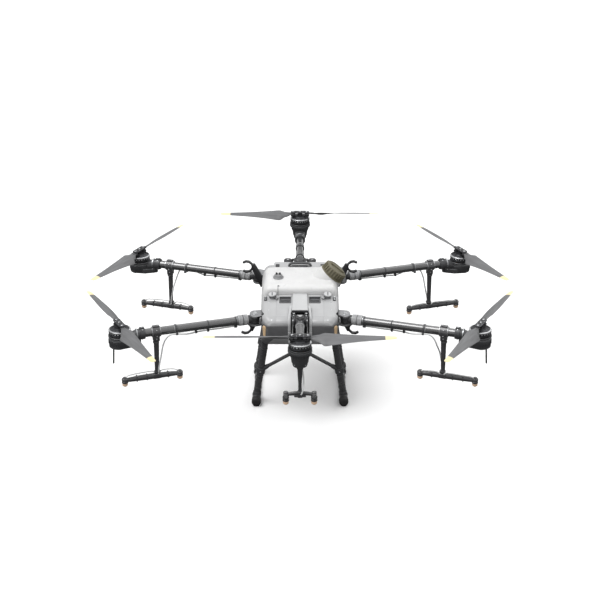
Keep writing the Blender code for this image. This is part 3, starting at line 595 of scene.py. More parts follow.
def heat_fins(builder, radius, low, high, count, start, end, material=0):
    """Upright fins on the outside of a housing, between two angles in degrees."""
    for i in range(count):
        turn = Matrix.Rotation(math.radians(start + (end - start) * i / (count - 1)), 4, "Z")
        add_box(builder, (radius - 0.003, -0.0011, low), (radius + 0.0022, 0.0011, high), 0.0005, turn, 1,
            material)


def add_collar(builder, x, half, radius, material=0, bolts=(), screw=1):
    """A ring round the arm's tube, with eased edges and screw heads at the given angles in degrees."""
    matrix = shift((x, 0, 0)) @ rotated(math.pi / 2, "Y")
    inner = TUBE_R - 0.0005
    profile = [(inner, -half), (radius - 0.0012, -half), (radius, -half + 0.0012)]
    profile += [(radius, half - 0.0012), (radius - 0.0012, half), (inner, half)]
    add_turned(builder, profile, 48, matrix, material)
    for angle in bolts:
        a = math.radians(angle)
        out = Vector((0, math.cos(a), math.sin(a)))
        add_bolt(builder, pointing(Vector((x, 0, 0)) + out * (radius - 0.0006), out), 0.0036, 0.003, screw)


def side_mount_mesh(antenna):
    """Housing of a side motor, with its origin on the motor's axis at the tube's height."""
    builder = bmesh.new()
    pan = [(0.03, -0.052), (0.05, -0.0515), (0.056, -0.046), (0.059, -0.034), (0.0612, -0.02)]
    pan += [(0.0612, -0.008), (0.059, -0.0065), (0.059, 0.003), (0.0618, 0.0045), (0.0618, 0.0105)]
    pan += [(0.06, SIDE_SEAT), (0.053, SIDE_SEAT), (0.052, 0.009), (0.03, 0.009)]
    add_turned(builder, pan, 72)
    add_turned(builder, [(0.0592, -0.0052), (0.0602, -0.0045), (0.0602, 0.0012), (0.0592, 0.002)], 72,
        material=1)
    for i in range(18):  # stator teeth and windings under the bell
        turn = rotated(i * math.pi / 9, "Z")
        add_box(builder, (0.03, -0.0034, 0.0085), (0.0515, 0.0034, 0.0125), 0.0012, turn, 1, 3)
    # the long electronics pod under the tube
    nose = arc((0.002, 0), 0.0575, -78, 78, 20)
    outline = nose + [(-0.05, 0.046), (-0.09, 0.022), (-0.104, 0.011), (-0.11, 0.007)]
    outline += [(-0.11, -0.007), (-0.104, -0.011), (-0.09, -0.022), (-0.05, -0.046)]
    add_slab(builder, outline, -0.0535, -0.026, 0.0045, segments=3)
    inset = [(x * 0.9 - 0.004, y * 0.86) for x, y in outline]
    add_slab(builder, inset, -0.054, -0.05, 0.001, material=2)
    for i in range(8):  # heat-sink fins on the pod's underside
        x = -0.0715 + 0.0135 * i
        add_box(builder, (x, -0.026, -0.0549), (x + 0.0032, 0.026, -0.052), 0.0005, segments=1, material=4)
    heat_fins(builder, 0.06, -0.034, -0.012, 17, -64, 64)
    # neck and split clamp on the tube's end
    neck = [Vector((-0.132, 0, 0)), Vector((-0.1, 0, -0.001)), Vector((-0.06, 0, -0.012)),
        Vector((-0.03, 0, -0.021))]
    add_tube(builder, neck, [0.0275, 0.0285, 0.029, 0.029], 40)
    add_collar(builder, -0.118, 0.0135, 0.0312, 0, (60, 120, 250, 290), 5)
    add_collar(builder, -0.088, 0.004, 0.03, 1)
    add_box(builder, (-0.13, -0.009, 0.026), (-0.104, 0.009, 0.0355), 0.002)
    add_bolt(builder, shift((-0.117, 0, 0.035)), 0.005, 0.003, 5)
    for y in (-1, 1):
        add_box(builder, (-0.103, y * 0.018 - 0.005, -0.042), (-0.07, y * 0.018 + 0.005, -0.014), 0.002)
        add_bolt(builder, pointing((-0.087, y * 0.0226, -0.03), (0, y, 0)), 0.0034, 0.0022, 5)
    if antenna:  # a short whip under the outer end
        add_turned(builder, [(0.0062, 0), (0.0056, 0.01), (0.0045, 0.012)], 20,
            pointing((0.036, 0, -0.0525), (0.06, 0, -1)), 2)
        add_turned(builder, [(0.0044, 0), (0.0044, 0.09), (0.003, 0.0935)], 20,
            pointing((0.0365, 0, -0.06), (0.06, 0, -1)), 2)
    return new_object("side_mount", builder, ["dark", "alloy", "black", "copper", "alloy", "steel"], 35)


def end_mount_mesh():
    """Housing of the nose or tail motor: a banded cone with its origin at the tube's height."""
    builder = bmesh.new()
    cone = [(0.02, -0.0298), (0.033, -0.0298), (0.0362, -0.028), (0.0385, -0.02), (0.04, -0.0085),
        (0.0428, -0.007)]
    cone += [(0.0445, 0.006), (0.047, 0.024), (0.049, 0.0255), (0.051, 0.038), (0.054, 0.047)]
    cone += [(0.059, 0.049), (0.0618, 0.051), (0.0618, 0.059), (0.0595, 0.06), (0.0595, 0.062)]
    cone += [(0.0612, 0.063), (0.0612, 0.0705), (0.06, END_SEAT), (0.053, END_SEAT), (0.052, 0.069),
        (0.03, 0.069)]
    add_turned(builder, cone, 72)
    add_turned(builder, [(0.0592, 0.0593), (0.0601, 0.0598), (0.0601, 0.0622), (0.0592, 0.0628)], 72,
        material=1)
    for i in range(18):
        turn = rotated(i * math.pi / 9, "Z")
        add_box(builder, (0.03, -0.0034, 0.0685), (0.0515, 0.0034, 0.0725), 0.0012, turn, 1, 3)
    heat_fins(builder, 0.05, 0.028, 0.046, 15, -105, 105)
    neck = [Vector((-0.122, 0, 0)), Vector((-0.09, 0, 0)), Vector((-0.05, 0, 0.004)),
        Vector((-0.02, 0, 0.006))]
    add_tube(builder, neck, [0.0275, 0.029, 0.032, 0.0335], 40)
    add_collar(builder, -0.108, 0.013, 0.0312, 0, (60, 120, 250, 290), 4)
    add_collar(builder, -0.084, 0.004, 0.0318, 1)
    for angle in (-40, 40):
        a = math.radians(angle)
        add_bolt(builder, pointing((0.04 * math.cos(a), 0.04 * math.sin(a), -0.014),
            (math.cos(a), math.sin(a), 0)), 0.0032, 0.0025, 4)
    return new_object("end_mount", builder, ["dark", "alloy", "black", "copper", "steel"], 35)


# ---------------------------------------------------------------- spray lances


def add_nozzle(builder, x, y, top):
    """A nozzle body, its ribbed cap nut and its bright tip. Materials: 0 body, 2 tip, 3 metal."""
    at = shift((x, y, 0))
    body = [(0.012, top + 0.001), (0.0155, top - 0.0005), (0.0168, top - 0.003), (0.0168, top - 0.011),
        (0.014, top - 0.0135)]
    body += [(0.014, top - 0.016), (0.0158, top - 0.0175), (0.0158, top - 0.0265), (0.014, top - 0.028)]
    add_turned(builder, list(reversed(body)), 36, at)
    for i in range(14):
        turn = at @ rotated(i * math.pi / 7, "Z")
        add_box(builder, (0.015, -0.0014, top - 0.026), (0.0168, 0.0014, top - 0.018), 0.0004, turn, 1)
    tip = [(0.0045, top - 0.047), (0.0085, top - 0.0462), (0.0125, top - 0.0425), (0.0148, top - 0.04)]
    tip += [(0.015, top - 0.03), (0.013, top - 0.0282)]
    add_turned(builder, tip, 36, at, 2)
    add_turned(builder, [(0.003, top - 0.0472), (0.003, top - 0.0455)], 16, at, 3)


def side_lance_mesh():
    """Side lance, with its origin on the tube's axis: clamp, strut, bowed bar and two nozzles."""
    builder = bmesh.new()
    add_collar(builder, 0, 0.02, 0.03, 0, (35, 145, 215, 325), 3)
    add_collar(builder, -0.0215, 0.002, 0.029, 3)
    add_collar(builder, 0.0215, 0.002, 0.029, 3)
    add_box(builder, (-0.018, -0.01, 0.026), (0.018, 0.01, 0.0355), 0.002)
    for x in (-0.01, 0.01):
        add_bolt(builder, shift((x, 0, 0.0345)), 0.004, 0.0028, 3)
    add_box(builder, (-0.018, -0.014, -0.052), (0.018, 0.014, -0.026), 0.004, segments=3)
    for y in (-1, 1):
        add_bolt(builder, pointing((0, y * 0.0135, -0.039), (0, y, 0)), 0.0042, 0.0028, 3)
    # strut: an oval blade that thins downwards
    rings = []
    for i in range(13):
        t = i / 12
        z = -0.05 - t * (LANCE_DROP - 0.064)
        wide, thin = 0.015 - 0.0035 * t, 0.0095 - 0.001 * t
        ring = [(0.004 * t + wide * math.cos(a), thin * math.sin(a), z)
            for a in (2 * math.pi * k / 28 for k in range(28))]
        rings.append(ring)
    skin(builder, rings)
    for z in (-0.06, -0.235):
        add_turned(builder, [(0.0162, z - 0.004), (0.0172, z - 0.002), (0.0172, z + 0.002),
            (0.0162, z + 0.004)], 32, shift((0.002, 0, 0)))
    add_box(builder, (-0.017, -0.014, -LANCE_DROP - 0.01), (0.025, 0.014, -LANCE_DROP + 0.018), 0.005,
        segments=3)
    # bar: flattened, and a little deeper in the middle
    rings = []
    for i in range(33):
        t = i / 32
        x = -LANCE_IN + (LANCE_IN + LANCE_OUT) * t
        middle = math.sin(math.pi * t) ** 0.6 if 0 < t < 1 else 0
        deep, thin = 0.01 + 0.007 * middle, 0.01 + 0.003 * middle
        z = -LANCE_DROP + 0.004 * middle
        rings.append([(x, thin * math.cos(a), z + deep * math.sin(a))
            for a in (2 * math.pi * k / 24 for k in range(24))])
    skin(builder, rings)
    for x in (-0.055, 0.06, 0.115):
        add_box(builder, (x - 0.004, -0.013, -LANCE_DROP - 0.0118), (x + 0.004, 0.013, -LANCE_DROP + 0.02),
            0.003)
    for x in (-LANCE_IN, LANCE_OUT):
        add_nozzle(builder, x, 0, -LANCE_DROP + 0.013)
        out = 1 if x > 0 else -1
        add_rod(builder, (x - out * 0.026, 0, -LANCE_DROP), (x, 0, -LANCE_DROP), 0.0112, 24)
        add_turned(builder, [(0.0095, 0), (0.0105, 0.001), (0.0105, 0.0055), (0.0085, 0.007)], 24,
            shift((x, 0, -LANCE_DROP + 0.013)))
    return new_object("side_lance", builder, ["leg", "hose", "orange", "steel"], 40)


def end_lance_mesh():
    """Lance of the nose or tail arm: strut, bow-shaped bar and a double nozzle at each end."""
    builder = bmesh.new()
    rings = []
    for i in range(13):
        t = i / 12
        z = -0.0305 - t * (END_LANCE_DROP - 0.034)
        wide, thin = 0.0165 - 0.007 * min(1, t * 1.6), 0.015 - 0.006 * min(1, t * 1.6)
        rings.append([(wide * math.cos(a), thin * math.sin(a), z)
            for a in (2 * math.pi * k / 28 for k in range(28))])
    skin(builder, rings)
    add_turned(builder, [(0.015, -0.05), (0.0166, -0.048), (0.0166, -0.036), (0.015, -0.033)], 32)
    half, drop = END_LANCE_HALF, END_LANCE_DROP
    rings = []
    for i in range(33):  # a bow that rises in the middle
        t = -1 + i / 16
        y = t * (half + 0.002)
        rise = 0.013 * math.cos(t * math.pi / 2)
        deep = 0.0085 + 0.0035 * math.cos(t * math.pi / 2)
        rings.append([(0.0085 * math.cos(a), y, -drop + 0.001 + rise * 0.55 + deep * math.sin(a))
            for a in (2 * math.pi * k / 20 for k in range(20))])
    skin(builder, rings)
    add_box(builder, (-0.0125, -0.013, -drop - 0.014), (0.0125, 0.013, -drop + 0.02), 0.004, segments=3)
    add_box(builder, (-0.011, -0.03, -drop - 0.011), (0.011, 0.03, -drop - 0.001), 0.003)
    for side in (-1, 1):
        level = -drop - 0.0013
        add_rod(builder, (-0.0223, side * half, level), (0.0223, side * half, level), 0.013, 32, ease=0.002)
        add_turned(builder, [(0.0105, 0), (0.013, 0.002), (0.013, 0.006), (0.011, 0.008)], 28,
            shift((0, side * half, -drop + 0.0085)))
        for x in (-1, 1):
            add_turned(builder, [(0.0098, 0), (0.0098, 0.0008), (0.002, 0.0009)], 24,
                pointing((x * 0.022, side * half, level), (x, 0, 0)), 3)
        add_nozzle(builder, 0, side * half, -drop - 0.0085)
    return new_object("end_lance", builder, ["leg", "hose", "orange", "steel"], 40)


# ---------------------------------------------------------------- arm tubes, sleeves and hoses


def tube_mesh(length, axis, start_sides):
    """Carbon tube with its moulded root, whose eye turns on the hinge pin along axis."""
    builder = bmesh.new()
    add_rod(builder, (0.03, 0, 0), (length - TUBE_SHORT, 0, 0), TUBE_R, 64, ease=0.0005)
    root = [Vector((0.012, 0, 0)), Vector((0.02, 0, 0)), Vector((0.03, 0, 0)), Vector((0.038, 0, 0))]
    add_tube(builder, root, [0.0195, 0.0215, 0.0232, 0.0228], 48, 1)
    half, eye = 0.0235, 0.026
    knuckle = [(0.007, half - 0.001), (0.007, half), (eye - 0.0035, half), (eye - 0.001, half - 0.0015),
        (eye, half - 0.004)]
    knuckle += [(eye, 0.006), (eye - 0.0012, 0.005), (eye - 0.0012, -0.005), (eye, -0.006)]
    knuckle += [(eye, 0.004 - half), (eye - 0.001, 0.0015 - half), (eye - 0.0035, -half), (0.007, -half),
        (0.007, 0.001 - half)]
    add_turned(builder, list(reversed(knuckle)), 56, pointing((0, 0, 0), axis), 1)
    if start_sides:
        for x, radius, half, key in ((0.101, 0.0262, 0.0022, 2), (0.1075, 0.025, 0.0034, 1),
                (0.436, 0.0262, 0.006, 1), (0.444, 0.0246, 0.0012, 3), (0.26, 0.0246, 0.0035, 1)):
            add_collar(builder, x, half, radius, key)
        for x in (0.26, 0.326):  # hose clips below the tube
            add_box(builder, (x - 0.006, -0.0085, -0.0385), (x + 0.006, 0.0085, -0.022), 0.002, material=1)
        for y in (-1, 1):  # hose clips beside the tube
            add_box(builder, (0.43, y * 0.03 - 0.0085, -0.0205), (0.442, y * 0.03 + 0.0085, -0.0075), 0.002,
                material=1)
        add_box(builder, (0.098, -0.009, -0.0365), (0.116, 0.009, -0.021), 0.003, material=1)
    else:
        for x, radius, half, key in ((0.07, 0.0262, 0.004, 1), (0.0765, 0.025, 0.0012, 3),
                (0.21, 0.0262, 0.006, 1), (0.245, 0.0246, 0.0012, 3)):
            add_collar(builder, x, half, radius, key)
    return new_object("arm_tube", builder, ["carbon", "dark", "alloy", "spine"], 35)


def sleeve_mesh():
    """Threaded locking collar with grip ribs."""
    builder = bmesh.new()
    turn = rotated(math.pi / 2, "Y")
    inner = TUBE_R + 0.0011
    profile = [(inner, 0.04), (0.0268, 0.04), (0.0284, 0.0415), (0.0284, 0.0455), (0.0272, 0.047)]
    profile += [(0.0272, 0.088), (0.0284, 0.0895), (0.0284, 0.0935), (0.0268, 0.095), (inner, 0.095)]
    add_turned(builder, profile, 64, turn)
    for i in range(28):
        rib = turn @ rotated(i * math.pi / 14, "Z")
        add_box(builder, (0.0262, -0.0016, 0.048), (0.0292, 0.0016, 0.087), 0.0007, rib, 1)
    add_turned(builder, [(0.0274, 0.066), (0.0297, 0.0665), (0.0297, 0.07), (0.0274, 0.0705)], 64, turn, 1)
    return new_object("lock_sleeve", builder, ["sleeve", "dark"], 35)


HOSE_D, JUMPER_D = 0.008, 0.006


def hose(name, points, matrix, body, diameter=HOSE_D):
    """A free hose along a smooth path in the arm's own frame."""
    path = [matrix @ point for point in smooth_path(points, 10)]
    builder = bmesh.new()
    add_tube(builder, path, diameter / 2, 16)
    made = new_object(name, builder, "hose", 60)
    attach(made, body)
    length = path_length(path)
    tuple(path[0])
    return made


def copy_of(made, name, matrix):
    twin = bpy.data.objects.new(name, made.data)
    bpy.context.scene.collection.objects.link(twin)
    twin.matrix_world = matrix
    return twin


def fit(made, body, slot, *nodes):
    """Puts a finished piece on its body and over the CAD nodes that it stands for. The slot argument is not used."""
    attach(made, body)
    if nodes:
        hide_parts(*nodes)
    return made


def drop(made):
    bpy.data.objects.remove(made)


def build_arms():
    shared = {
        "rotor": rotor_mesh(),
        1: blade_mesh(1),
        -1: blade_mesh(-1),
        "mount_front": side_mount_mesh(True),
        "mount_rear": side_mount_mesh(False),
        "mount_end": end_mount_mesh(),
        "lance_side": side_lance_mesh(),
        "lance_end": end_lance_mesh(),
        "sleeve": sleeve_mesh(),
    }
    for arm, (side, end) in ARMS.items():
        place, length = arm_frame(arm)
        spin = spin_frame(arm)
        axis = place.to_3x3().inverted() @ Vector(JOINTS["arm_fold_" + arm]["axis"])
        tube = tube_mesh(length, axis, side)
        tube.name = "tube_" + arm
        tube.matrix_world = place
        fit(tube, "arm_" + arm, "carbon", "arm_tube_" + arm)
        motor = place @ shift((length, 0, 0))
        kind = "mount_end" if not side else "mount_front" if end < 0 else "mount_rear"
        fit(copy_of(shared[kind], "housing_" + arm, motor), "arm_" + arm, "dark_plastic",
            "motor_mount_" + arm)
        fit(copy_of(shared["rotor"], "bell_" + arm, spin), "rotor_" + arm, "motor_metal", "rotor_hub_" + arm)
        hand = 1 if arm in COUNTER_CLOCKWISE else -1
        for letter, angle in (("a", 0), ("b", math.pi)):
            at = spin @ rotated(angle, "Z") @ shift((PIN_REACH, 0, BLADE_RISE))
            blade = copy_of(shared[hand], f"propeller_{letter}_{arm}", shift(at.translation))
            blade.data = blade.data.copy()
            blade.data.transform(at.to_3x3().to_4x4())
            fit(blade, f"blade_{letter}_{arm}", "blade_composite", f"blade_{letter}_{arm}")
        if side:
            lance = place @ shift((length - LANCE_BACK, 0, 0))
            fit(copy_of(shared["lance_side"], "lance_" + arm, lance), "arm_" + arm, "black_plastic",
                "spray_lance_" + arm)
            fit(copy_of(shared["sleeve"], "sleeve_ring_" + arm, place), "sleeve_" + arm, "black_plastic",
                "lock_sleeve_" + arm)
            y = 0.011
            free = side * end  # the side of the tube that stays open when the arm lies in its hook
            feed = [(0.116, 0, -0.0295), (0.16, 0, -0.03), (0.21, 0, -0.0315), (0.26, 0, -0.031),
                (0.32, 0, -0.0335)]
            feed += [(0.365, free * 0.013, -0.032), (0.402, free * 0.0255, -0.023),
                (0.438, free * 0.0325, -0.014)]
            feed += [(0.472, free * 0.0335, -0.015), (0.496, free * 0.027, -0.038),
                (0.511, free * 0.017, -0.078), (0.522, 0.0145, -0.133), (0.53, 0.0145, -0.17),
                (0.538, 0.014, -0.207), (0.542, 0.013, -0.244)]
            hose("feed_hose_" + arm, feed, place, "arm_" + arm)
            for letter, out, reach in (("in", -1, LANCE_IN), ("out", 1, LANCE_OUT)):
                start = (out * 0.012, -y, -0.247)
                near = [start, (out * 0.022, -y, -0.239), (out * 0.04, -0.011, -0.236)]
                far = [(out * reach * 0.66, -0.01, -0.2385), (out * (reach - 0.022), -0.007, -0.242),
                    (out * (reach - 0.008), -0.004, -0.249)]
                hose(f"jumper_{letter}_{arm}", near + far, lance, "arm_" + arm, JUMPER_D)
        else:
            at = copy_of(shared["lance_end"], "lance_" + arm, motor)
            fit(at, "arm_" + arm, "black_plastic", "spray_lance_" + arm)
            twist = [(-0.088, 0, -0.029), (-0.07, 0.002, -0.039), (-0.046, 0.01, -0.062),
                (-0.026, 0.016, -0.093)]
            twist += [(-0.01, 0.019, -0.123), (0.004, 0.0175, -0.15), (0.012, 0.012, -0.175),
                (0.0125, 0.006, -0.19)]
            hose("feed_hose_" + arm, twist, motor, "arm_" + arm)
    for made in shared.values():
        drop(made)


# ---------------------------------------------------------------- body tools


def rounded(corners, radius, steps=5, closed=True):
    """An outline with its corners rounded. radius is a number or one for each corner."""
    made, count = [], len(corners)
    for i, corner in enumerate(corners):
        corner = Vector(corner)
        reach = radius[i] if isinstance(radius, (list, tuple)) else radius
        if not closed and i in (0, count - 1) or reach == 0:
            made.append(tuple(corner))
            continue
        before, after = Vector(corners[i - 1]) - corner, Vector(corners[(i + 1) % count]) - corner
        reach = min(reach, 0.48 * before.length, 0.48 * after.length)
        a, b = corner + before.normalized() * reach, corner + after.normalized() * reach
        for k in range(steps + 1):
            t = k / steps
            made.append(tuple(a.lerp(corner, t).lerp(corner.lerp(b, t), t)))
    return made


def oblong(half_x, half_y, radius, y=0.0):
    """A rounded rectangle whose middle is at x 0 and y."""
    low, high = y - half_y, y + half_y
    return rounded([(-half_x, low), (half_x, low), (half_x, high), (-half_x, high)], radius)


def bake(made, angle=35):
    """Applies the piece's modifiers."""
    bpy.context.view_layer.update()
    graph = bpy.context.evaluated_depsgraph_get()
    mesh = bpy.data.meshes.new_from_object(made.evaluated_get(graph))
    made.modifiers.clear()
    made.data = mesh
    mesh.shade_smooth()
    mesh.set_sharp_from_angle(angle=math.radians(angle))
    return made


def cut(made, *tools, operation="DIFFERENCE"):
    """Boolean with each tool in turn, applied."""
    for tool in tools:
        modifier = made.modifiers.new("cut", "BOOLEAN")
        modifier.operation, modifier.object, modifier.solver = operation, tool, "EXACT"
    bake(made)
    for tool in tools:
        drop(tool)
    return made


def bevelled(made, width, segments=2, angle=35):
    modifier = made.modifiers.new("edges", "BEVEL")
    modifier.width, modifier.segments, modifier.limit_method = width, segments, "ANGLE"
    modifier.angle_limit, modifier.use_clamp_overlap = math.radians(angle), True
    return bake(made)


def block(low, high, bevel=0.003, material="dark"):
    builder = bmesh.new()
    add_box(builder, low, high, bevel)
    return new_object("block", builder, material)


def hood_rings(stations, brow, groove_x=(), grooves_y=(), inset=0.0, drop=0.0):
    """Rings through stations of (y, half width, low, high), with panel grooves."""
    dense = smooth_path([Vector(s) for s in stations], 6)
    dense = [p for p in dense if all(abs(p[0] - g) > 0.004 for g in grooves_y)]
    for g in grooves_y:
        base = min(dense, key=lambda p: abs(p[0] - g))
        for offset, dip in ((-0.0016, 0), (-0.0008, 0.0012), (0.0008, 0.0012), (0.0016, 0)):
            extra = base.copy()
            extra[0], extra[3] = g + offset, base[3] - dip
            dense.append(extra)
    dense.sort(key=lambda p: p[0])
    rings = []
    for y, half, low, high in dense:
        half, high, low = half - inset, high - inset, low - drop
        fall = min(brow, 0.7 * (high - low))
        corners, radii = [(half, low), (half, high - fall), (half - fall * 1.1, high)], [0, 0.01, 0.012]
        for g in groove_x:
            for offset, dip in ((0.0016, 0), (0.0008, 0.0012), (-0.0008, 0.0012), (-0.0016, 0)):
                corners.append((g + offset, high + 0.002 * (1 - (g / half) ** 2) - dip))
                radii.append(0)
        corners.append((0.0, high + 0.002))
        radii.append(0.02)
        corners += [(-x, z) for x, z in reversed(corners[:-1])]
        radii += list(reversed(radii[:-1]))
        rings.append([(x, y, z) for x, z in rounded(corners, radii, 5, closed=False)])
    return rings


def solid_of(rings, name, material):
    builder = bmesh.new()
    skin(builder, rings)
    return new_object(name, builder, material, 30)


def hollowed(stations, brow, name, material, groove_x, grooves_y, nose):
    """A cover with a 4 mm wall, open below and at its tank end. nose is -1 or 1, the end that is closed."""
    cover = solid_of(hood_rings(stations, brow, groove_x, grooves_y), name, material)
    inner = [list(s) for s in stations]
    inner = inner[1:] if nose < 0 else inner[:-1]
    beyond = list(inner[-1]) if nose < 0 else list(inner[0])
    beyond[0] -= nose * 0.03
    inner = inner + [beyond] if nose < 0 else [beyond] + inner
    return cut(cover, solid_of(hood_rings(inner, brow, inset=0.004, drop=0.02), "inner", material))


def seat_block(builder, place, half_x, half_y, height, material=0, radius=0.008):
    outline = oblong(half_x, half_y, radius)
    add_slab(builder, outline, 0, height, 0.0015, place, material)


# ---------------------------------------------------------------- body


def softened(node, name, material, width=0.0015):
    """A CAD solid's own shape with its edges rounded off."""
    made = bpy.data.objects.new(name, frame["nodes"][node].data.copy())
    bpy.context.scene.collection.objects.link(made)
    made.data.materials.clear()
    made.data.materials.append(PAINT[material])
    builder = bmesh.new()
    builder.from_mesh(made.data)
    bmesh.ops.remove_doubles(builder, verts=builder.verts, dist=1e-5)
    bmesh.ops.dissolve_limit(builder, angle_limit=math.radians(2), verts=builder.verts, edges=builder.edges)
    builder.to_mesh(made.data)
    builder.free()
    return bevelled(made, width, 2, 30)


def build_chassis():
    made = softened("center_frame", "chassis", "black", 0.0018)
    made.data.materials.append(PAINT["fork"])
    for face in made.data.polygons:  # the fork plates round the four side hinges are a paler moulding
        x, y, z = made.matrix_world @ face.center
        if 0.205 < abs(x) < 0.3 and 0.235 < abs(y) < 0.335 and z > 0.52:
            face.material_index = len(made.data.materials) - 1
    fit(made, "airframe", "carbon", "center_frame")
    # hinge pins, with their heads and washers
    builder = bmesh.new()
    for arm, (side, end) in ARMS.items():
        joint = JOINTS["arm_fold_" + arm]
        axis, at = Vector(joint["axis"]).normalized(), Vector(joint["pos_m"])
        for way in (-1, 1):
            face = at + axis * way * 0.0342
            add_turned(builder, [(0.0125, 0), (0.0125, 0.0012), (0.0115, 0.0018)], 32,
                pointing(face, axis * way), 1)
            add_bolt(builder, pointing(face + axis * way * 0.0015, axis * way), 0.0088, 0.0055)
    fit(new_object("hinge_pins", builder, ["steel", "alloy"]), "airframe", "motor_metal")


HOOD_FOOT = 0.5728  # the covers stand on the frame here
FRONT_HOOD = [  # y, half width, foot, top
    (-0.39, 0.166, HOOD_FOOT, 0.583),
    (-0.386, 0.172, HOOD_FOOT, 0.5925),
    (-0.372, 0.187, HOOD_FOOT, 0.604),
    (-0.33, 0.205, HOOD_FOOT, 0.618),
    (-0.25, 0.21, HOOD_FOOT, 0.64),
    (-0.169, 0.21, HOOD_FOOT, 0.654),
]
REAR_HOOD = [
    (0.151, 0.21, HOOD_FOOT, 0.6385),
    (0.25, 0.21, HOOD_FOOT, 0.6325),
    (0.33, 0.205, HOOD_FOOT, 0.615),
    (0.372, 0.187, HOOD_FOOT, 0.604),
    (0.386, 0.172, HOOD_FOOT, 0.5925),
    (0.39, 0.166, HOOD_FOOT, 0.583),
]


def fork_gap(x, y, low=0.55, high=0.6165):
    near, far = sorted((x * 0.19, x * 0.262))
    front, back = sorted((y * 0.236, y * 0.326))
    return block((near, front, low), (far, back, high), 0.006)


def top_of(stations, y):
    """Height of a cover's top at y."""
    for a, b in zip(stations, stations[1:]):
        if a[0] <= y <= b[0]:
            t = (y - a[0]) / (b[0] - a[0])
            return a[3] + (b[3] - a[3]) * t + 0.0015
    return stations[-1][3]


def hood_slope(stations, x, y, tilt_x=0.0):
    """A frame on a cover's top, with Z out of it."""
    ahead, behind = top_of(stations, y - 0.01), top_of(stations, y + 0.01)
    pitch = math.atan2(behind - ahead, 0.02)
    return shift((x, y, top_of(stations, y))) @ rotated(pitch, "X") @ rotated(tilt_x, "Y")


def build_front_shell():
    cover = hollowed(FRONT_HOOD, 0.016, "front_cover", "shell", (0.128,), (-0.352,), -1)
    tools = [fork_gap(x, -1) for x in (-1, 1)]
    tools.append(block((-0.054, -0.42, 0.55), (0.054, -0.287, 0.7), 0.01))
    for x in (-1, 1):  # pockets behind the hand grips
        place = hood_slope(FRONT_HOOD, x * 0.08, -0.213)
        builder = bmesh.new()
        seat_block(builder, place @ shift((0, 0, -0.02)), 0.033, 0.0335, 0.05, radius=0.009)
        tools.append(new_object("pocket", builder, "shell"))
    cut(cover, *tools)
    bevelled(cover, 0.0012, 2, 40)
    fit(cover, "airframe", "white_plastic", "front_shell")
    builder = bmesh.new()
    for x in (-1, 1):
        place = hood_slope(FRONT_HOOD, x * 0.08, -0.213)
        # grip: a dark cup with a lip and three finger ribs, under a pale ledge
        outer = oblong(0.0325, 0.033, [0.016, 0.016, 0.003, 0.003])
        inner = [(px * 0.9, py * 0.88 - 0.0005) for px, py in outer]
        rings = []
        for points, height in ((outer, -0.012), (outer, 0.0012), (inner, 0.0016), (inner, -0.0095)):
            rings.append([place @ Vector((px, py, height)) for px, py in points])
        skin(builder, rings, True, True)
        for i in range(6):
            add_box(builder, (-0.0245, -0.023 + i * 0.0066, -0.01), (0.0245, -0.0204 + i * 0.0066, -0.0064),
                0.0009, place)
        add_box(builder, (-0.0335, 0.0255, -0.001), (0.0335, 0.035, 0.0064), 0.0024, place, 3, 1)
        # quarter-turn knob with a pale cap, and its small dark hook
        knob = hood_slope(FRONT_HOOD, x * 0.148, -0.19, x * 0.12)
        add_turned(builder, [(0.019, -0.004), (0.019, 0.002), (0.0175, 0.004), (0.0175, 0.015),
            (0.019, 0.0165), (0.019, 0.0185)], 40, knob, 4)
        add_turned(builder, [(0.0205, 0.018), (0.0214, 0.0195), (0.0214, 0.0225), (0.0196, 0.0242),
            (0.006, 0.025)], 40, knob, 1)
        for i in range(18):
            turn = knob @ rotated(i * math.pi / 9, "Z")
            add_box(builder, (0.0168, -0.0013, 0.0045), (0.0185, 0.0013, 0.015), 0.0004, turn, 1, 2)
        add_box(builder, (-0.0025, -0.015, 0.0245), (0.0025, 0.015, 0.0262), 0.0008, knob, 2, 2)
        hook = smooth_path([(-x * 0.004, -0.01, 0.004), (-x * 0.012, -0.022, 0.006),
            (-x * 0.022, -0.028, 0.005), (-x * 0.029, -0.022, 0.004), (-x * 0.03, -0.013, 0.002)], 6)
        add_tube(builder, [knob @ p for p in hook], 0.0028, 10, 2)
        # strap lug on the shoulder
        lug = hood_slope(FRONT_HOOD, x * 0.186, -0.205, x * 0.25)
        add_box(builder, (-0.008, -0.016, -0.003), (0.008, 0.016, 0.005), 0.002, lug, 2, 2)
        add_bolt(builder, lug @ shift((0, -0.009, 0.0045)), 0.004, 0.0026, 3)
        add_bolt(builder, lug @ shift((0, 0.009, 0.0045)), 0.004, 0.0026, 3)
        for y in (-0.375, -0.3, -0.235):
            sx = 0.15 if y < -0.35 else 0.168
            add_bolt(builder, hood_slope(FRONT_HOOD, x * sx, y), 0.0036, 0.0012, 3)
    fit(new_object("front_fittings", builder, ["grip", "spine", "dark", "steel", "valve"]), "airframe",
        "dark_plastic")


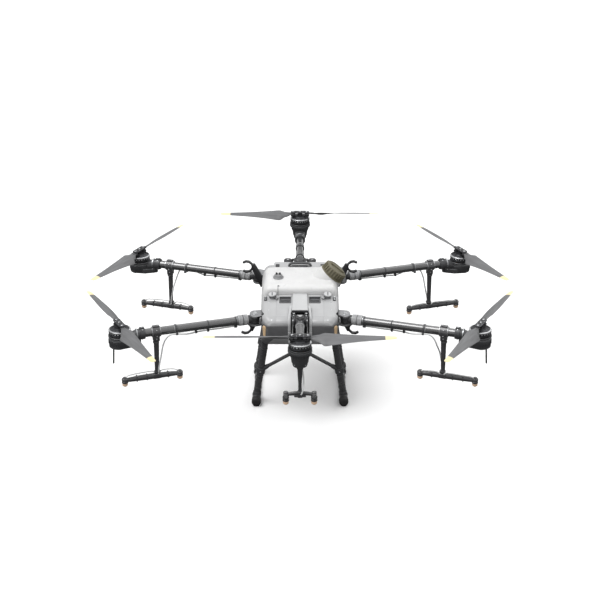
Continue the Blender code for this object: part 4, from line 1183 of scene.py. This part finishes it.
def build_rear_shell():
    cover = hollowed(REAR_HOOD, 0.016, "rear_cover", "shell", (0.166,), (0.352,), 1)
    tools = [fork_gap(x, 1) for x in (-1, 1)]
    tools.append(block((-0.054, 0.297, 0.55), (0.054, 0.42, 0.7), 0.006))
    tools.append(block((-0.1515, 0.163, 0.59), (0.1515, 0.2875, 0.7), 0.007))
    for x in (-1, 1):
        near, far = sorted((x * 0.192, x * 0.26))
        tools.append(block((near, 0.128, 0.55), (far, 0.188, 0.7), 0.004))
    cut(cover, *tools)
    bevelled(cover, 0.0012, 2, 40)
    fit(cover, "airframe", "white_plastic", "rear_shell")
    builder = bmesh.new()
    for x in (-1, 1):
        for y in (0.3, 0.375):
            sx = 0.178 if y < 0.35 else 0.15
            add_bolt(builder, hood_slope(REAR_HOOD, x * sx, y), 0.0036, 0.0012, 0)
        # louvred outlet beside the tail arm
        place = hood_slope(REAR_HOOD, x * 0.11, 0.322)
        for i in range(5):
            add_box(builder, (-0.03, -0.014 + i * 0.0064, -0.001), (0.03, -0.011 + i * 0.0064, 0.0026), 0.001,
                place @ rotated(-0.35, "X"), 2, 1)
        # clamp knobs on both sides of the tail arm's root
        at = shift((x * 0.07, 0.338, top_of(REAR_HOOD, 0.338) - 0.002))
        add_turned(builder, [(0.02, 0), (0.02, 0.007), (0.015, 0.009), (0.015, 0.019), (0.0225, 0.023),
            (0.0235, 0.038), (0.0205, 0.042)], 32, at, 1)
        add_bolt(builder, at @ shift((0, 0, 0.041)), 0.007, 0.003, 0)
        arch = smooth_path([(x * 0.064, 0.34, 0.636), (x * 0.05, 0.35, 0.642), (x * 0.038, 0.362, 0.6445)], 6)
        add_tube(builder, arch, 0.007, 14, 1)
    fit(new_object("rear_fittings", builder, ["steel", "black"]), "airframe", "dark_plastic")


def build_spine():
    builder = bmesh.new()
    rings = []
    path = [(-0.3445, 0.0435, 0.6362, 0.647), (-0.338, 0.0435, 0.6362, 0.65), (-0.3, 0.0435, 0.6362, 0.654)]
    path += [(-0.25, 0.0418, 0.6425, 0.66), (-0.2, 0.0405, 0.651, 0.666), (-0.174, 0.0395, 0.656, 0.669),
        (-0.1695, 0.038, 0.657, 0.666)]
    for y, half, low, high in path:
        corners = [(half, low), (half, high), (-half, high), (-half, low)]
        outline = rounded(corners, [0.001, 0.01, 0.01, 0.001], 6)
        rings.append([(px, y, pz) for px, pz in outline])
    skin(builder, rings)
    fit(new_object("spine_panel", builder, "spine", 40), "airframe", "white_plastic", "nose_spine")
    # pale strips that run down both sides of the nose recess, and the black arch inside them
    builder = bmesh.new()
    for x in (-1, 1):
        line = smooth_path([(x * 0.049, -0.286, 0.6445), (x * 0.053, -0.33, 0.63), (x * 0.056, -0.368, 0.613),
            (x * 0.057, -0.389, 0.59), (x * 0.057, -0.3935, 0.56), (x * 0.057, -0.3935, 0.52),
            (x * 0.056, -0.39, 0.495)], 6)
        rings = []
        for i, point in enumerate(line):
            ahead = (line[min(i + 1, len(line) - 1)] - line[max(i - 1, 0)]).normalized()
            up = Vector((1, 0, 0)).cross(ahead).normalized()
            up = up if up.z > 0 or up.y < 0 else -up
            corners = rounded([(-0.0075, -0.004), (0.0075, -0.004), (0.0075, 0.004), (-0.0075, 0.004)], 0.003,
                3)
            rings.append([point + Vector((1, 0, 0)) * a + up * b for a, b in corners])
        skin(builder, rings)
    fit(new_object("spine_strips", builder, "spine", 40), "airframe", "white_plastic")
    builder = bmesh.new()
    for x in (-1, 1):
        add_box(builder, (x * 0.046 - 0.003, -0.39, 0.506), (x * 0.046 + 0.003, -0.33, 0.63), 0.002)
    arch = [(0.049, 0.505), (0.049, 0.634), (0.04, 0.648), (-0.04, 0.648), (-0.049, 0.634), (-0.049, 0.505)]
    arch += [(-0.043, 0.505), (-0.043, 0.631), (-0.0365, 0.6415), (0.0365, 0.6415), (0.043, 0.631),
        (0.043, 0.505)]
    rings = [[(px, y - max(0, 0.63 - pz) * 0.35, pz) for px, pz in arch] for y in (-0.352, -0.346)]
    part = bmesh.new()
    skin(part, rings)
    merge(builder, part)
    # latch strap over the knuckle, with a pale arrow and a knob
    strap, arrow = [], []
    centre = Vector((0, -0.4, 0.61))
    for i in range(9):
        angle = math.radians(112 - 62 * i / 8)
        out = Vector((0, -math.cos(angle), math.sin(angle)))
        strap.append([centre + out * r + Vector((px, 0, 0)) for r,
            px in ((0.0285, -0.021), (0.0325, -0.021), (0.0325, 0.021), (0.0285, 0.021))])
        if 2 <= i <= 7:
            wide = 0.0165 * (7.3 - i) / 5.3
            arrow.append([centre + out * r + Vector((px, 0, 0)) for r,
                px in ((0.0322, -wide), (0.034, -wide), (0.034, wide), (0.0322, wide))])
    skin(builder, strap)
    skin(builder, arrow, material=1)
    for x in (-1, 1):
        add_rod(builder, (x * 0.0345, -0.4, 0.6415), (x * 0.0345, -0.4, 0.58), 0.0045, 16, material=2)
        add_rod(builder, (x * 0.04, -0.372, 0.62), (x * 0.04, -0.394, 0.52), 0.0032, 12, material=1)
        add_box(builder, (x * 0.033 - 0.006, -0.372, 0.622), (x * 0.033 + 0.006, -0.352, 0.64), 0.002,
            material=2)
    add_turned(builder, [(0.0085, 0), (0.01, 0.002), (0.01, 0.008), (0.008, 0.01)], 28,
        pointing((0, -0.424, 0.633), (0, -0.72, 0.7)))
    fit(new_object("nose_latch", builder, ["black", "shell", "steel"], 30), "airframe", "black_plastic")


def pan_rings(inset=0.0, rise=0.0):
    stations = [(-0.39, 0.17, 0.497), (-0.388, 0.176, 0.491), (-0.35, 0.205, 0.447), (-0.344, 0.2065, 0.444),
        (-0.296, 0.21, 0.421), (-0.288, 0.21, 0.42)]
    stations += [(-y, half, low) for y, half, low in reversed(stations)]
    rings = []
    for y, half, low in stations:
        half, low, y = half - inset, low + inset, y * (1 - inset / 0.39)
        corners = [(half, 0.5715 + rise), (half, 0.561), (half - 0.0015, 0.5595), (half - 0.0015, 0.556),
            (half, 0.5545), (half, low + 0.022), (half - 0.022, low)]
        corners += [(-px, pz) for px, pz in reversed(corners)]
        radii = [0, 0, 0, 0, 0, 0.012, 0.012, 0.012, 0.012, 0, 0, 0, 0, 0]
        rings.append([(px, y, pz) for px, pz in rounded(corners, radii, 4, closed=False)])
    return rings


def build_pan():
    pan = solid_of(pan_rings(), "belly_tub", ["band", "ledge"])
    tools = [solid_of(pan_rings(0.004, 0.02), "inner", "band")]
    for y in (-1, 1):
        low, high = sorted((y * 0.335, y * 0.42))
        tools.append(block((-0.0535, low, 0.505), (0.0535, high, 0.62), 0.008))
        for x in (-1, 1):
            tools.append(fork_gap(x, y, 0.527, 0.6))
            near, far = sorted((x * 0.19, x * 0.262))
            front, back = sorted((y * 0.155, y * 0.188))
            tools.append(block((near, front, 0.522), (far, back, 0.6), 0.003))
    cut(pan, *tools)
    bevelled(pan, 0.0014, 2, 40)
    for face in pan.data.polygons:  # the paler facets under the two ends
        if abs(face.center.y) > 0.349 and face.normal.z < -0.25 and abs(face.normal.x) < 0.15 and face.center.z < 0.5:
            face.material_index = 1
    fit(pan, "airframe", "dark_plastic", "belly_pan")
    builder = bmesh.new()
    for y in (-0.2, 0.2):  # bosses for the leg braces
        outline = oblong(0.03, 0.025, 0.008, y)
        add_slab(builder, outline, 0.345, 0.4215, 0.0025)
        for x in (-1, 1):
            add_box(builder, (x * 0.034 - 0.003, y - 0.018, 0.385), (x * 0.034 + 0.003, y + 0.018, 0.4205),
                0.0015)
            add_bolt(builder, pointing((x * 0.0298, y, 0.362), (x, 0, 0)), 0.0045, 0.003, 1)
    for x in (-1, 1):  # stiffening ribs along the floor
        for i in range(3):
            add_box(builder, (x * (0.06 + 0.035 * i) - 0.003, -0.15, 0.416),
                (x * (0.06 + 0.035 * i) + 0.003, 0.15, 0.4205), 0.0015)
    fit(new_object("belly_bosses", builder, ["dark", "steel"]), "airframe", "dark_plastic")
    builder = bmesh.new()
    for x in (-1, 1):  # lamps on the corners of the nose
        for y in (-1, 1):
            rings = []
            for t in range(9):
                s = t / 8
                z = 0.566 - 0.064 * s
                wide = 0.0075 * (1 - 0.55 * s) * min(1.0, 12 * s, 12 * (1 - s)) + 0.001
                centre = Vector((x * (0.1925 - 0.0015 * s), y * (0.3715 - 0.0035 * s), z))
                along = Vector((x * 0.62, -y * 0.78, 0)).normalized() * (wide + 0.005)
                out = Vector((x * 0.78, y * 0.62, 0)).normalized()
                rings.append([centre + along * a + out * b for a,
                    b in ((-1, -0.004), (-1, 0.0015), (-0.6, 0.0042), (0.6, 0.0042), (1, 0.0015),
                    (1, -0.004))])
            skin(builder, rings)
    fit(new_object("corner_lamps", builder, "strip", 50), "airframe", "dark_plastic")


def build_small_parts():
    builder = bmesh.new()
    add_box(builder, (-0.03, -0.38, 0.52), (0.03, -0.3205, 0.566), 0.005, segments=3)
    add_turned(builder, [(0.0165, 0), (0.0165, 0.01), (0.015, 0.0128), (0.0125, 0.0128), (0.0115, 0.009)], 40,
        pointing((0, -0.3795, 0.543), (0, -1, 0)))
    add_turned(builder, [(0.0118, 0.006), (0.0112, 0.0085), (0.008, 0.0105), (0.003, 0.0113)], 40,
        pointing((0, -0.3795, 0.543), (0, -1, 0)), 1)
    for x in (-1, 1):
        add_bolt(builder, pointing((x * 0.024, -0.3795, 0.56), (0, -1, 0)), 0.0026, 0.0015, 2)
        add_bolt(builder, pointing((x * 0.024, -0.3795, 0.526), (0, -1, 0)), 0.0026, 0.0015, 2)
    fit(new_object("nose_camera", builder, ["black", "glass", "steel"]), "airframe", "black_plastic",
        "fpv_camera")
    builder = bmesh.new()
    drum = [(0.036, 0.352), (0.04, 0.3525), (0.044, 0.356), (0.046, 0.36), (0.046, 0.382), (0.0445, 0.383),
        (0.0445, 0.386), (0.046, 0.387)]
    drum += [(0.046, 0.407), (0.0495, 0.4095), (0.05, 0.412), (0.05, 0.419)]
    add_turned(builder, drum, 64, shift((0, 0.281, 0)))
    for i in range(6):
        turn = shift((0, 0.281, 0)) @ rotated(i * math.pi / 3, "Z")
        add_bolt(builder, turn @ pointing((0.0455, 0, 0.396), (1, 0, 0)), 0.0028, 0.002, 1)
    fit(new_object("radar_drum", builder, ["black", "steel"]), "airframe", "black_plastic", "radar_module")
    floor = 0.4243
    builder = bmesh.new()
    add_box(builder, (-0.07, -0.262, floor), (0.07, -0.196, floor + 0.06), 0.005, segments=3)
    can = [(0.03, floor + 0.052), (0.03, floor + 0.06), (0.0285, floor + 0.062), (0.0285, floor + 0.112),
        (0.03, floor + 0.114), (0.03, floor + 0.121), (0.024, floor + 0.1245)]
    add_turned(builder, can, 48, shift((0, -0.229, 0)), 1)
    for x in (-1, 1):
        add_rod(builder, (x * 0.065, -0.229, floor + 0.03), (x * 0.094, -0.229, floor + 0.03), 0.01, 28)
        add_turned(builder, [(0.0115, 0), (0.0115, 0.004), (0.01, 0.006)], 24,
            pointing((x * 0.078, -0.229, floor + 0.03), (x, 0, 0)), 1)
        for y in (-0.254, -0.204):
            add_bolt(builder, shift((x * 0.06, y, floor + 0.0595)), 0.004, 0.003, 2)
    fit(new_object("pump_unit", builder, ["dark", "alloy", "steel"]), "airframe", "dark_plastic",
        "delivery_pump")


def build_battery():
    builder = bmesh.new()
    low = 0.4243
    outline = rounded([(-0.146, 0.167), (0.146, 0.167), (0.146, 0.283), (-0.146, 0.283)], 0.01)
    add_slab(builder, outline, low, 0.6455, 0.003)
    for i in range(9):  # cooling ribs down the long faces
        x = -0.112 + 0.028 * i
        for y in (0.1668, 0.2832):
            add_box(builder, (x - 0.004, y - 0.001, low + 0.03), (x + 0.004, y + 0.001, 0.6), 0.0008)
    top = rounded([(-0.149, 0.165), (0.149, 0.165), (0.149, 0.285), (-0.149, 0.285)], 0.014)
    add_slab(builder, top, 0.646, 0.6615, 0.0045, segments=4, material=1)
    # carrying handle: an arch over a dark slot
    slot = rounded([(-0.046, 0.214), (0.046, 0.214), (0.046, 0.238), (-0.046, 0.238)], 0.01)
    add_slab(builder, slot, 0.66, 0.6624, 0.0006, material=0)
    bow = smooth_path([(-0.064, 0.226, 0.66), (-0.06, 0.226, 0.67), (-0.045, 0.226, 0.6775),
        (0, 0.226, 0.6795), (0.045, 0.226, 0.6775), (0.06, 0.226, 0.67), (0.064, 0.226, 0.66)], 6)
    rings = []
    for i, point in enumerate(bow):
        ahead = (bow[min(i + 1, len(bow) - 1)] - bow[max(i - 1, 0)]).normalized()
        up = ahead.cross(Vector((0, 1, 0))).normalized()
        rings.append([point + Vector((0, 1, 0)) * a + up * b for a,
            b in rounded([(-0.011, -0.0042), (0.011, -0.0042), (0.011, 0.0042), (-0.011, 0.0042)], 0.0035,
            4)])
    skin(builder, rings, material=0)
    for x in (-1, 1):  # latches at the two ends
        add_box(builder, (x * 0.128 - 0.011, 0.21, 0.6605), (x * 0.128 + 0.011, 0.242, 0.6665), 0.002,
            material=0)
        for i in range(4):
            add_box(builder, (x * 0.128 - 0.009, 0.214 + 0.0068 * i, 0.666),
                (x * 0.128 + 0.009, 0.2165 + 0.0068 * i, 0.6675), 0.0006, material=0)
    add_box(builder, (-0.06, 0.18, 0.66), (0.06, 0.2045, 0.6672), 0.003, material=0)
    for i in range(4):  # charge lamps
        add_turned(builder, [(0.0026, 0.6665), (0.0026, 0.668), (0.0018, 0.6684)], 16,
            shift((-0.03 + 0.014 * i, 0.1925, 0)), 2)
    add_turned(builder, [(0.0065, 0.6665), (0.0065, 0.6686), (0.005, 0.6692)], 28, shift((0.036, 0.1925, 0)),
        3)
    fit(new_object("battery_case", builder, ["dark", "shell", "alloy", "rubber"]), "battery", "dark_plastic",
        "battery_pack")


# ---------------------------------------------------------------- tank

LID_SEAT = (0.176, 0.01, 0.705)


def lid_frame():
    return shift(LID_SEAT) @ rotated(math.radians(40), "Y")


def tank_skin(inset, name="tank_skin"):
    """The tank: a block with full shoulders, crowned top and rounded ends, on a narrower sump."""
    half, top, front, rear = 0.212 - inset, 0.6995 - inset, -0.165 + inset, 0.145 - inset
    builder, rings = bmesh.new(), []
    steps = [0.0, 0.003, 0.009, 0.018, 0.03, 0.045]
    draw = [0.03, 0.019, 0.0105, 0.005, 0.0016, 0.0]
    ends = [(front + s, d, 1) for s, d in zip(steps, draw)] + [(rear - s, d, -1) for s,
        d in reversed(list(zip(steps, draw)))]
    for y, d, _ in ends:
        high = top - d * 0.95
        wide = half - d * 0.62
        corners = [(wide, 0.5858 + inset), (wide, high - 0.044), (wide - 0.028, high), (0, high + 0.0005)]
        radii = [0.004, 0.026, 0.024, 0.2]
        corners += [(-px, pz) for px, pz in reversed(corners[:-1])]
        radii += list(reversed(radii[:-1]))
        rings.append([(px, y, pz) for px, pz in rounded(corners, radii, 6)])
    skin(builder, rings)
    return new_object(name, builder, "tank", 50)


def build_tank():
    tank = tank_skin(0)
    seat = lid_frame()
    builder = bmesh.new()
    add_turned(builder, [(0.076, -0.072), (0.0735, -0.012), (0.072, -0.004), (0.069, -0.0006)], 64, seat)
    boss = new_object("boss", builder, "tank")
    builder = bmesh.new()
    add_turned(builder, [(0.082, -0.0003), (0.082, 0.08)], 64, seat)
    clear = new_object("clear", builder, "tank")
    sump = block((-0.155, -0.1645, 0.4402), (0.155, 0.1445, 0.605), 0.012, "tank")
    builder = bmesh.new()
    add_turned(builder, [(0.052, -0.02), (0.052, 0.0225), (0.0505, 0.024)], 64, seat)
    neck = new_object("neck", builder, "tank")
    inside = tank_skin(0.004, "inside")
    pit = block((-0.151, -0.16, 0.445), (0.151, 0.14, 0.6), 0.01, "tank")
    builder = bmesh.new()
    add_turned(builder, [(0.044, -0.105), (0.044, 0.05)], 64, seat)
    mouth = new_object("mouth", builder, "tank")
    tools = [(boss, "UNION"), (clear, "DIFFERENCE"), (sump, "UNION"), (neck, "UNION"), (inside, "DIFFERENCE"),
        (pit, "DIFFERENCE"), (mouth, "DIFFERENCE")]
    for tool, operation in tools:
        cut(tank, tool, operation=operation)
    bake(tank, 32)
    fit(tank, "tank", "tank_plastic", "spray_tank")
    builder = bmesh.new()
    for i in range(3):  # thread on the neck
        turns = [seat @ Vector((0.0522 * math.cos(a), 0.0522 * math.sin(a),
            0.004 + 0.006 * i + 0.006 * a / (2 * math.pi)))
            for a in (2 * math.pi * k / 48 for k in range(49))]
        add_tube(builder, turns, 0.0011, 8)
    # mould line down the front, its plug, and two strap bosses
    corners = [vertex.co for vertex in tank.data.vertices]
    surface = BVHTree.FromPolygons(corners, [tuple(face.vertices) for face in tank.data.polygons])
    line, middle = [], Vector((-0.12, -0.1, 0.62))
    for angle in range(-14, 60, 3):
        out = Vector((0, -math.cos(math.radians(angle)), math.sin(math.radians(angle))))
        line.append(surface.ray_cast(middle + out * 0.3, -out)[0])
    add_tube(builder, line, 0.0014, 8, 2)
    add_turned(builder, [(0.0062, 0), (0.0062, 0.0022), (0.005, 0.0032)], 28,
        pointing((-0.118, -0.1395, 0.6945), (0, -0.62, 0.78)), 2)
    for y in (-0.12, 0.105):
        at = shift((-0.168, y, 0.6925)) @ rotated(-0.5, "Y")
        add_turned(builder, [(0.012, -0.003), (0.0115, 0.0012), (0.01, 0.002)], 32, at)
    fit(new_object("tank_details", builder, ["tank", "grip", "dark"], 40), "tank", "tank_plastic")


def build_lid():
    seat = lid_frame()
    builder = bmesh.new()
    cap = [(0.053, 0.0006), (0.0635, 0.0006), (0.065, 0.0022), (0.065, 0.006), (0.063, 0.0075), (0.063, 0.04),
        (0.0615, 0.044), (0.056, 0.047), (0.048, 0.0478)]
    cap += [(0.0465, 0.0462), (0.03, 0.0458), (0.0285, 0.0474), (0.008, 0.0474), (0.007, 0.0462),
        (0.0004, 0.0461)]
    inner = [(0.0004, 0.0262), (0.0525, 0.0262), (0.053, 0.025)]
    add_turned(builder, cap + inner, 96, seat)
    for i in range(24):  # grip ribs, wider every other one
        wide = 0.003 if i % 2 else 0.0042
        turn = seat @ rotated(i * math.pi / 12, "Z")
        add_box(builder, (0.06, -wide, 0.007), (0.0678, wide, 0.0405), 0.0018, turn)
    bar = oblong(0.046, 0.009, 0.006)
    add_slab(builder, bar, 0.044, 0.0536, 0.0026, seat, 1, 3)
    for x in (-1, 1):
        add_box(builder, (x * 0.026 - 0.009, -0.006, 0.0528), (x * 0.026 + 0.009, 0.006, 0.054), 0.0012, seat,
            2, 1)
    add_turned(builder, [(0.0725, -0.0006), (0.07, 0.0026), (0.0655, 0.003), (0.0655, -0.0006)], 72, seat, 1)
    fit(new_object("filler_cap", builder, ["lid", "lid"], 35), "lid", "lid_plastic", "tank_lid")


def build_valve():
    builder = bmesh.new()
    at = shift((-0.12, -0.03, 0.7003))
    body = [(0.028, 0.0), (0.029, 0.001), (0.029, 0.0045), (0.0275, 0.0062), (0.0235, 0.0085),
        (0.0215, 0.012), (0.0215, 0.016), (0.02, 0.0185), (0.012, 0.0192)]
    add_turned(builder, body, 56, at)
    for i in range(16):
        turn = at @ rotated(i * math.pi / 8, "Z")
        add_box(builder, (0.02, -0.0016, 0.01), (0.0228, 0.0016, 0.0165), 0.0006, turn, 1)
    for x in (-0.009, 0.009):
        stub = [(0.0058, 0.018), (0.0058, 0.02), (0.0048, 0.021), (0.0055, 0.0235), (0.0048, 0.025),
            (0.0055, 0.027), (0.0045, 0.0295), (0.0028, 0.0297)]
        add_turned(builder, stub, 24, at @ shift((x, 0, 0)), 1)
    add_turned(builder, [(0.0272, 0.0055), (0.0262, 0.0075), (0.024, 0.0082)], 56, at, 2)
    fit(new_object("breather", builder, ["valve", "black", "grip"], 35), "tank", "white_plastic",
        "tank_valve")


# ---------------------------------------------------------------- landing gear

LEG_TOP, LEG_FOOT = (0.188, 0.2, 0.416), (0.243, 0.165, 0.046)
SKID_X, SKID_Z, LEG_R = 0.245, 0.0262, 0.019
BOOT_Y, BOSS_Y, CLAMP_LEVEL = 0.216, 0.2, 0.205


def leg_ends(x, y):
    return Vector((LEG_TOP[0] * x, LEG_TOP[1] * y, LEG_TOP[2])), Vector((LEG_FOOT[0] * x, LEG_FOOT[1] * y,
        LEG_FOOT[2]))


def build_legs():
    names = {(-1, -1): "front_left", (1, -1): "front_right", (-1, 1): "rear_left", (1, 1): "rear_right"}
    for (x, y), word in names.items():
        top, foot = leg_ends(x, y)
        along = (foot - top).normalized()
        builder = bmesh.new()
        add_rod(builder, top + along * 0.004, foot, LEG_R, 56)
        near, far = sorted((x * 0.158, x * 0.204))
        add_box(builder, (near, top.y - 0.026, 0.411), (far, top.y + 0.026, 0.4196), 0.0022, material=1)
        add_tube(builder, [top + along * t for t in (0.0, 0.012, 0.034, 0.04)],
            [0.0225, 0.0225, 0.0215, 0.02], 48, 1)
        for sx in (0.164, 0.198):
            for sy in (-0.019, 0.019):
                add_bolt(builder, pointing((x * sx, top.y + sy, 0.4116), (0, 0, -1)), 0.0034, 0.0022, 2)
        for t, radius, half in ((0.07, 0.0205, 0.0035), (0.25, 0.0205, 0.003), (0.33, 0.021, 0.006)):
            middle = top + along * t
            add_tube(builder, [middle - along * half, middle - along * (half - 0.001),
                middle + along * (half - 0.001), middle + along * half],
                [radius - 0.0008, radius, radius, radius - 0.0008], 40, 1)
        # tee at the skid: a split collar with two screws
        centre = Vector((x * SKID_X, foot.y, SKID_Z))
        turn = shift(centre) @ rotated(math.pi / 2, "X")
        tee = [(0.0166, -0.03), (0.0235, -0.03), (0.0243, -0.0288), (0.0243, -0.024), (0.0232, -0.023),
            (0.0232, 0.023), (0.0243, 0.024), (0.0243, 0.0288), (0.0235, 0.03), (0.0166, 0.03)]
        add_turned(builder, tee, 48, turn, 1)
        add_tube(builder, [foot - along * 0.02, foot - along * 0.016, foot, foot + along * 0.006],
            [0.0205, 0.0222, 0.0228, 0.0222], 40, 1)
        for sy in (-0.018, 0.018):
            add_bolt(builder, pointing(centre + Vector((x * 0.0226, sy, 0.002)), (x, 0, 0.1)), 0.0036, 0.0024,
                2)
        fit(new_object("strut_" + word, builder, ["leg", "dark", "steel"], 35), "airframe", "carbon",
            "leg_" + word)
    for x, word in ((-1, "left"), (1, "right")):
        builder = bmesh.new()
        add_rod(builder, (x * SKID_X, -0.206, SKID_Z), (x * SKID_X, 0.206, SKID_Z), 0.016, 56)
        for y in (-1, 1):
            turn = shift((x * SKID_X, y * BOOT_Y, SKID_Z)) @ rotated(-y * math.pi / 2, "X")
            boot = [(0.0165, -0.02), (0.0205, -0.0196), (0.0228, -0.0176), (0.0255, -0.015), (0.026, -0.013),
                (0.0252, -0.0115), (0.026, -0.01), (0.026, 0.008)]
            boot += [(0.0252, 0.0095), (0.0258, 0.011), (0.025, 0.015), (0.0225, 0.019), (0.018, 0.0212),
                (0.01, 0.022)]
            add_turned(builder, boot, 56, turn, 1)
            add_box(builder, (x * SKID_X - 0.011, y * BOOT_Y - 0.015, 0.0),
                (x * SKID_X + 0.011, y * BOOT_Y + 0.015, 0.02), 0.0008, material=1)
            for i in range(4):
                low = y * BOOT_Y - 0.014 + 0.0079 * i
                add_box(builder, (x * SKID_X - 0.015, low, 0.0018), (x * SKID_X + 0.015, low + 0.0042, 0.012),
                    0.001, material=1)
        for y in (-0.07, 0.07):
            turn = shift((x * SKID_X, y, SKID_Z)) @ rotated(math.pi / 2, "X")
            add_turned(builder, [(0.0158, -0.009), (0.0178, -0.008), (0.0178, 0.008), (0.0158, 0.009)], 40,
                turn, 2)
        fit(new_object("runner_" + word, builder, ["leg", "rubber", "dark"], 35), "airframe", "carbon",
            "skid_" + word)
    for y, word in ((-1, "front"), (1, "rear")):
        builder = bmesh.new()
        outline = oblong(0.032, 0.024, 0.007, y * BOSS_Y)
        add_slab(builder, outline, 0.3229, 0.3446, 0.0025, material=1)
        for x in (-1, 1):
            top, foot = leg_ends(x, y)
            along = (foot - top).normalized()
            joint = top + (foot - top) * ((top.z - CLAMP_LEVEL) / (top.z - foot.z))
            start = Vector((x * 0.02, y * BOSS_Y, 0.3338))
            way = (joint - start).normalized()
            add_rod(builder, start, joint - way * 0.012, 0.0098, 40)
            add_tube(builder, [start + way * t for t in (0.008, 0.016, 0.034, 0.038)],
                [0.0125, 0.0128, 0.0118, 0.0102], 32, 1)
            add_tube(builder, [joint - way * t for t in (0.052, 0.048, 0.03, 0.022)],
                [0.0102, 0.0122, 0.0135, 0.014], 32, 1)
            ring = [(-0.018, 0.0245), (-0.0165, 0.0258), (0.0165, 0.0258), (0.018, 0.0245)]
            add_tube(builder, [joint + along * t for t, _ in ring], [r for _, r in ring], 44, 1)
            side = along.cross(way).normalized()
            for sign in (-1, 1):
                add_bolt(builder, pointing(joint + side * sign * 0.0252, side * sign), 0.0042, 0.0028, 2)
            for sy in (0.012, -0.012):
                add_bolt(builder, pointing((x * 0.016, y * BOSS_Y + sy, 0.3234), (0, 0, -1)), 0.004, 0.0024,
                    2)
        fit(new_object("brace_" + word, builder, ["leg", "dark", "steel"], 35), "airframe", "carbon",
            "leg_brace_" + word)


# ---------------------------------------------------------------- studio

CAMERA_DISTANCE, CAMERA_RISE, AIM_HEIGHT, LENS = 7.75, math.radians(24.5), 0.55, 83.1
FLOOR_HALF, FLOOR_DROP = 45, 0.0005
SKY = ((0.45, 0.14), (0.472, 0.88), (0.54, 0.8), (0.6, 0.5), (0.78, 0.8))  # place from nadir to zenith, grey
SUNS = (("key", (8, -22), 40, 1.85), ("rim", (-38, 30), 50, 0.5))  # angles, spread, power


def build_studio():
    world = bpy.data.worlds.new("studio")
    bpy.context.scene.world = world
    world.use_nodes = True
    tree = world.node_tree
    back = tree.nodes["Background"]
    split, source = tree.nodes.new("ShaderNodeSeparateXYZ"), tree.nodes.new("ShaderNodeTexCoord")
    ramp = tree.nodes.new("ShaderNodeValToRGB")
    ramp.color_ramp.elements[0].position, ramp.color_ramp.elements[0].color = 0.0, (0.1, 0.1, 0.1, 1)
    ramp.color_ramp.elements[1].position, ramp.color_ramp.elements[1].color = 1.0, (1, 1, 1, 1)
    for place, value in SKY:
        ramp.color_ramp.elements.new(place).color = (value, value, value, 1)
    lift = tree.nodes.new("ShaderNodeMapRange")
    lift.inputs["From Min"].default_value, lift.inputs["From Max"].default_value = -1, 1
    tree.links.new(source.outputs["Generated"], split.inputs[0])
    tree.links.new(split.outputs["Z"], lift.inputs["Value"])
    tree.links.new(lift.outputs["Result"], ramp.inputs["Fac"])
    tree.links.new(ramp.outputs["Color"], back.inputs["Color"])
    back.inputs["Strength"].default_value = 1.0
    bpy.context.scene.view_settings.view_transform = "Standard"
    builder = bmesh.new()
    bmesh.ops.create_grid(builder, x_segments=2, y_segments=2, size=FLOOR_HALF)
    mesh = bpy.data.meshes.new("floor")
    builder.to_mesh(mesh)
    builder.free()
    floor = bpy.data.objects.new("floor", mesh)
    bpy.context.scene.collection.objects.link(floor)
    paper = Shader("floor_paper")
    paper.bump(paper.noise(60, 3), 0.02, 0.0005)
    mesh.materials.append(paper.finish((0.93, 0.93, 0.93), 0.85))
    floor.location.z = -FLOOR_DROP
    floor.visible_diffuse = floor.visible_glossy = False
    for name, angles, spread, power in SUNS:
        lamp = bpy.data.lights.new(name, "SUN")
        lamp.energy, lamp.angle = power, math.radians(spread)
        made = bpy.data.objects.new(name, lamp)
        bpy.context.scene.collection.objects.link(made)
        made.rotation_euler = (math.radians(angles[0]), math.radians(angles[1]), 0)
    data = bpy.data.cameras.new("camera")
    data.sensor_width, data.lens = 36, LENS
    data.clip_end = 60
    camera = bpy.data.objects.new("camera", data)
    bpy.context.scene.collection.objects.link(camera)
    rise = CAMERA_RISE
    camera.location = (0, -CAMERA_DISTANCE * math.cos(rise), AIM_HEIGHT + CAMERA_DISTANCE * math.sin(rise))
    camera.rotation_euler = (math.radians(90) - rise, 0, 0)
    bpy.context.scene.camera = camera


build_studio()
build_arms()
build_chassis()
build_front_shell()
build_rear_shell()
build_spine()
build_pan()
build_small_parts()
build_battery()
build_tank()
build_lid()
build_valve()
build_legs()

bpy.context.view_layer.update()
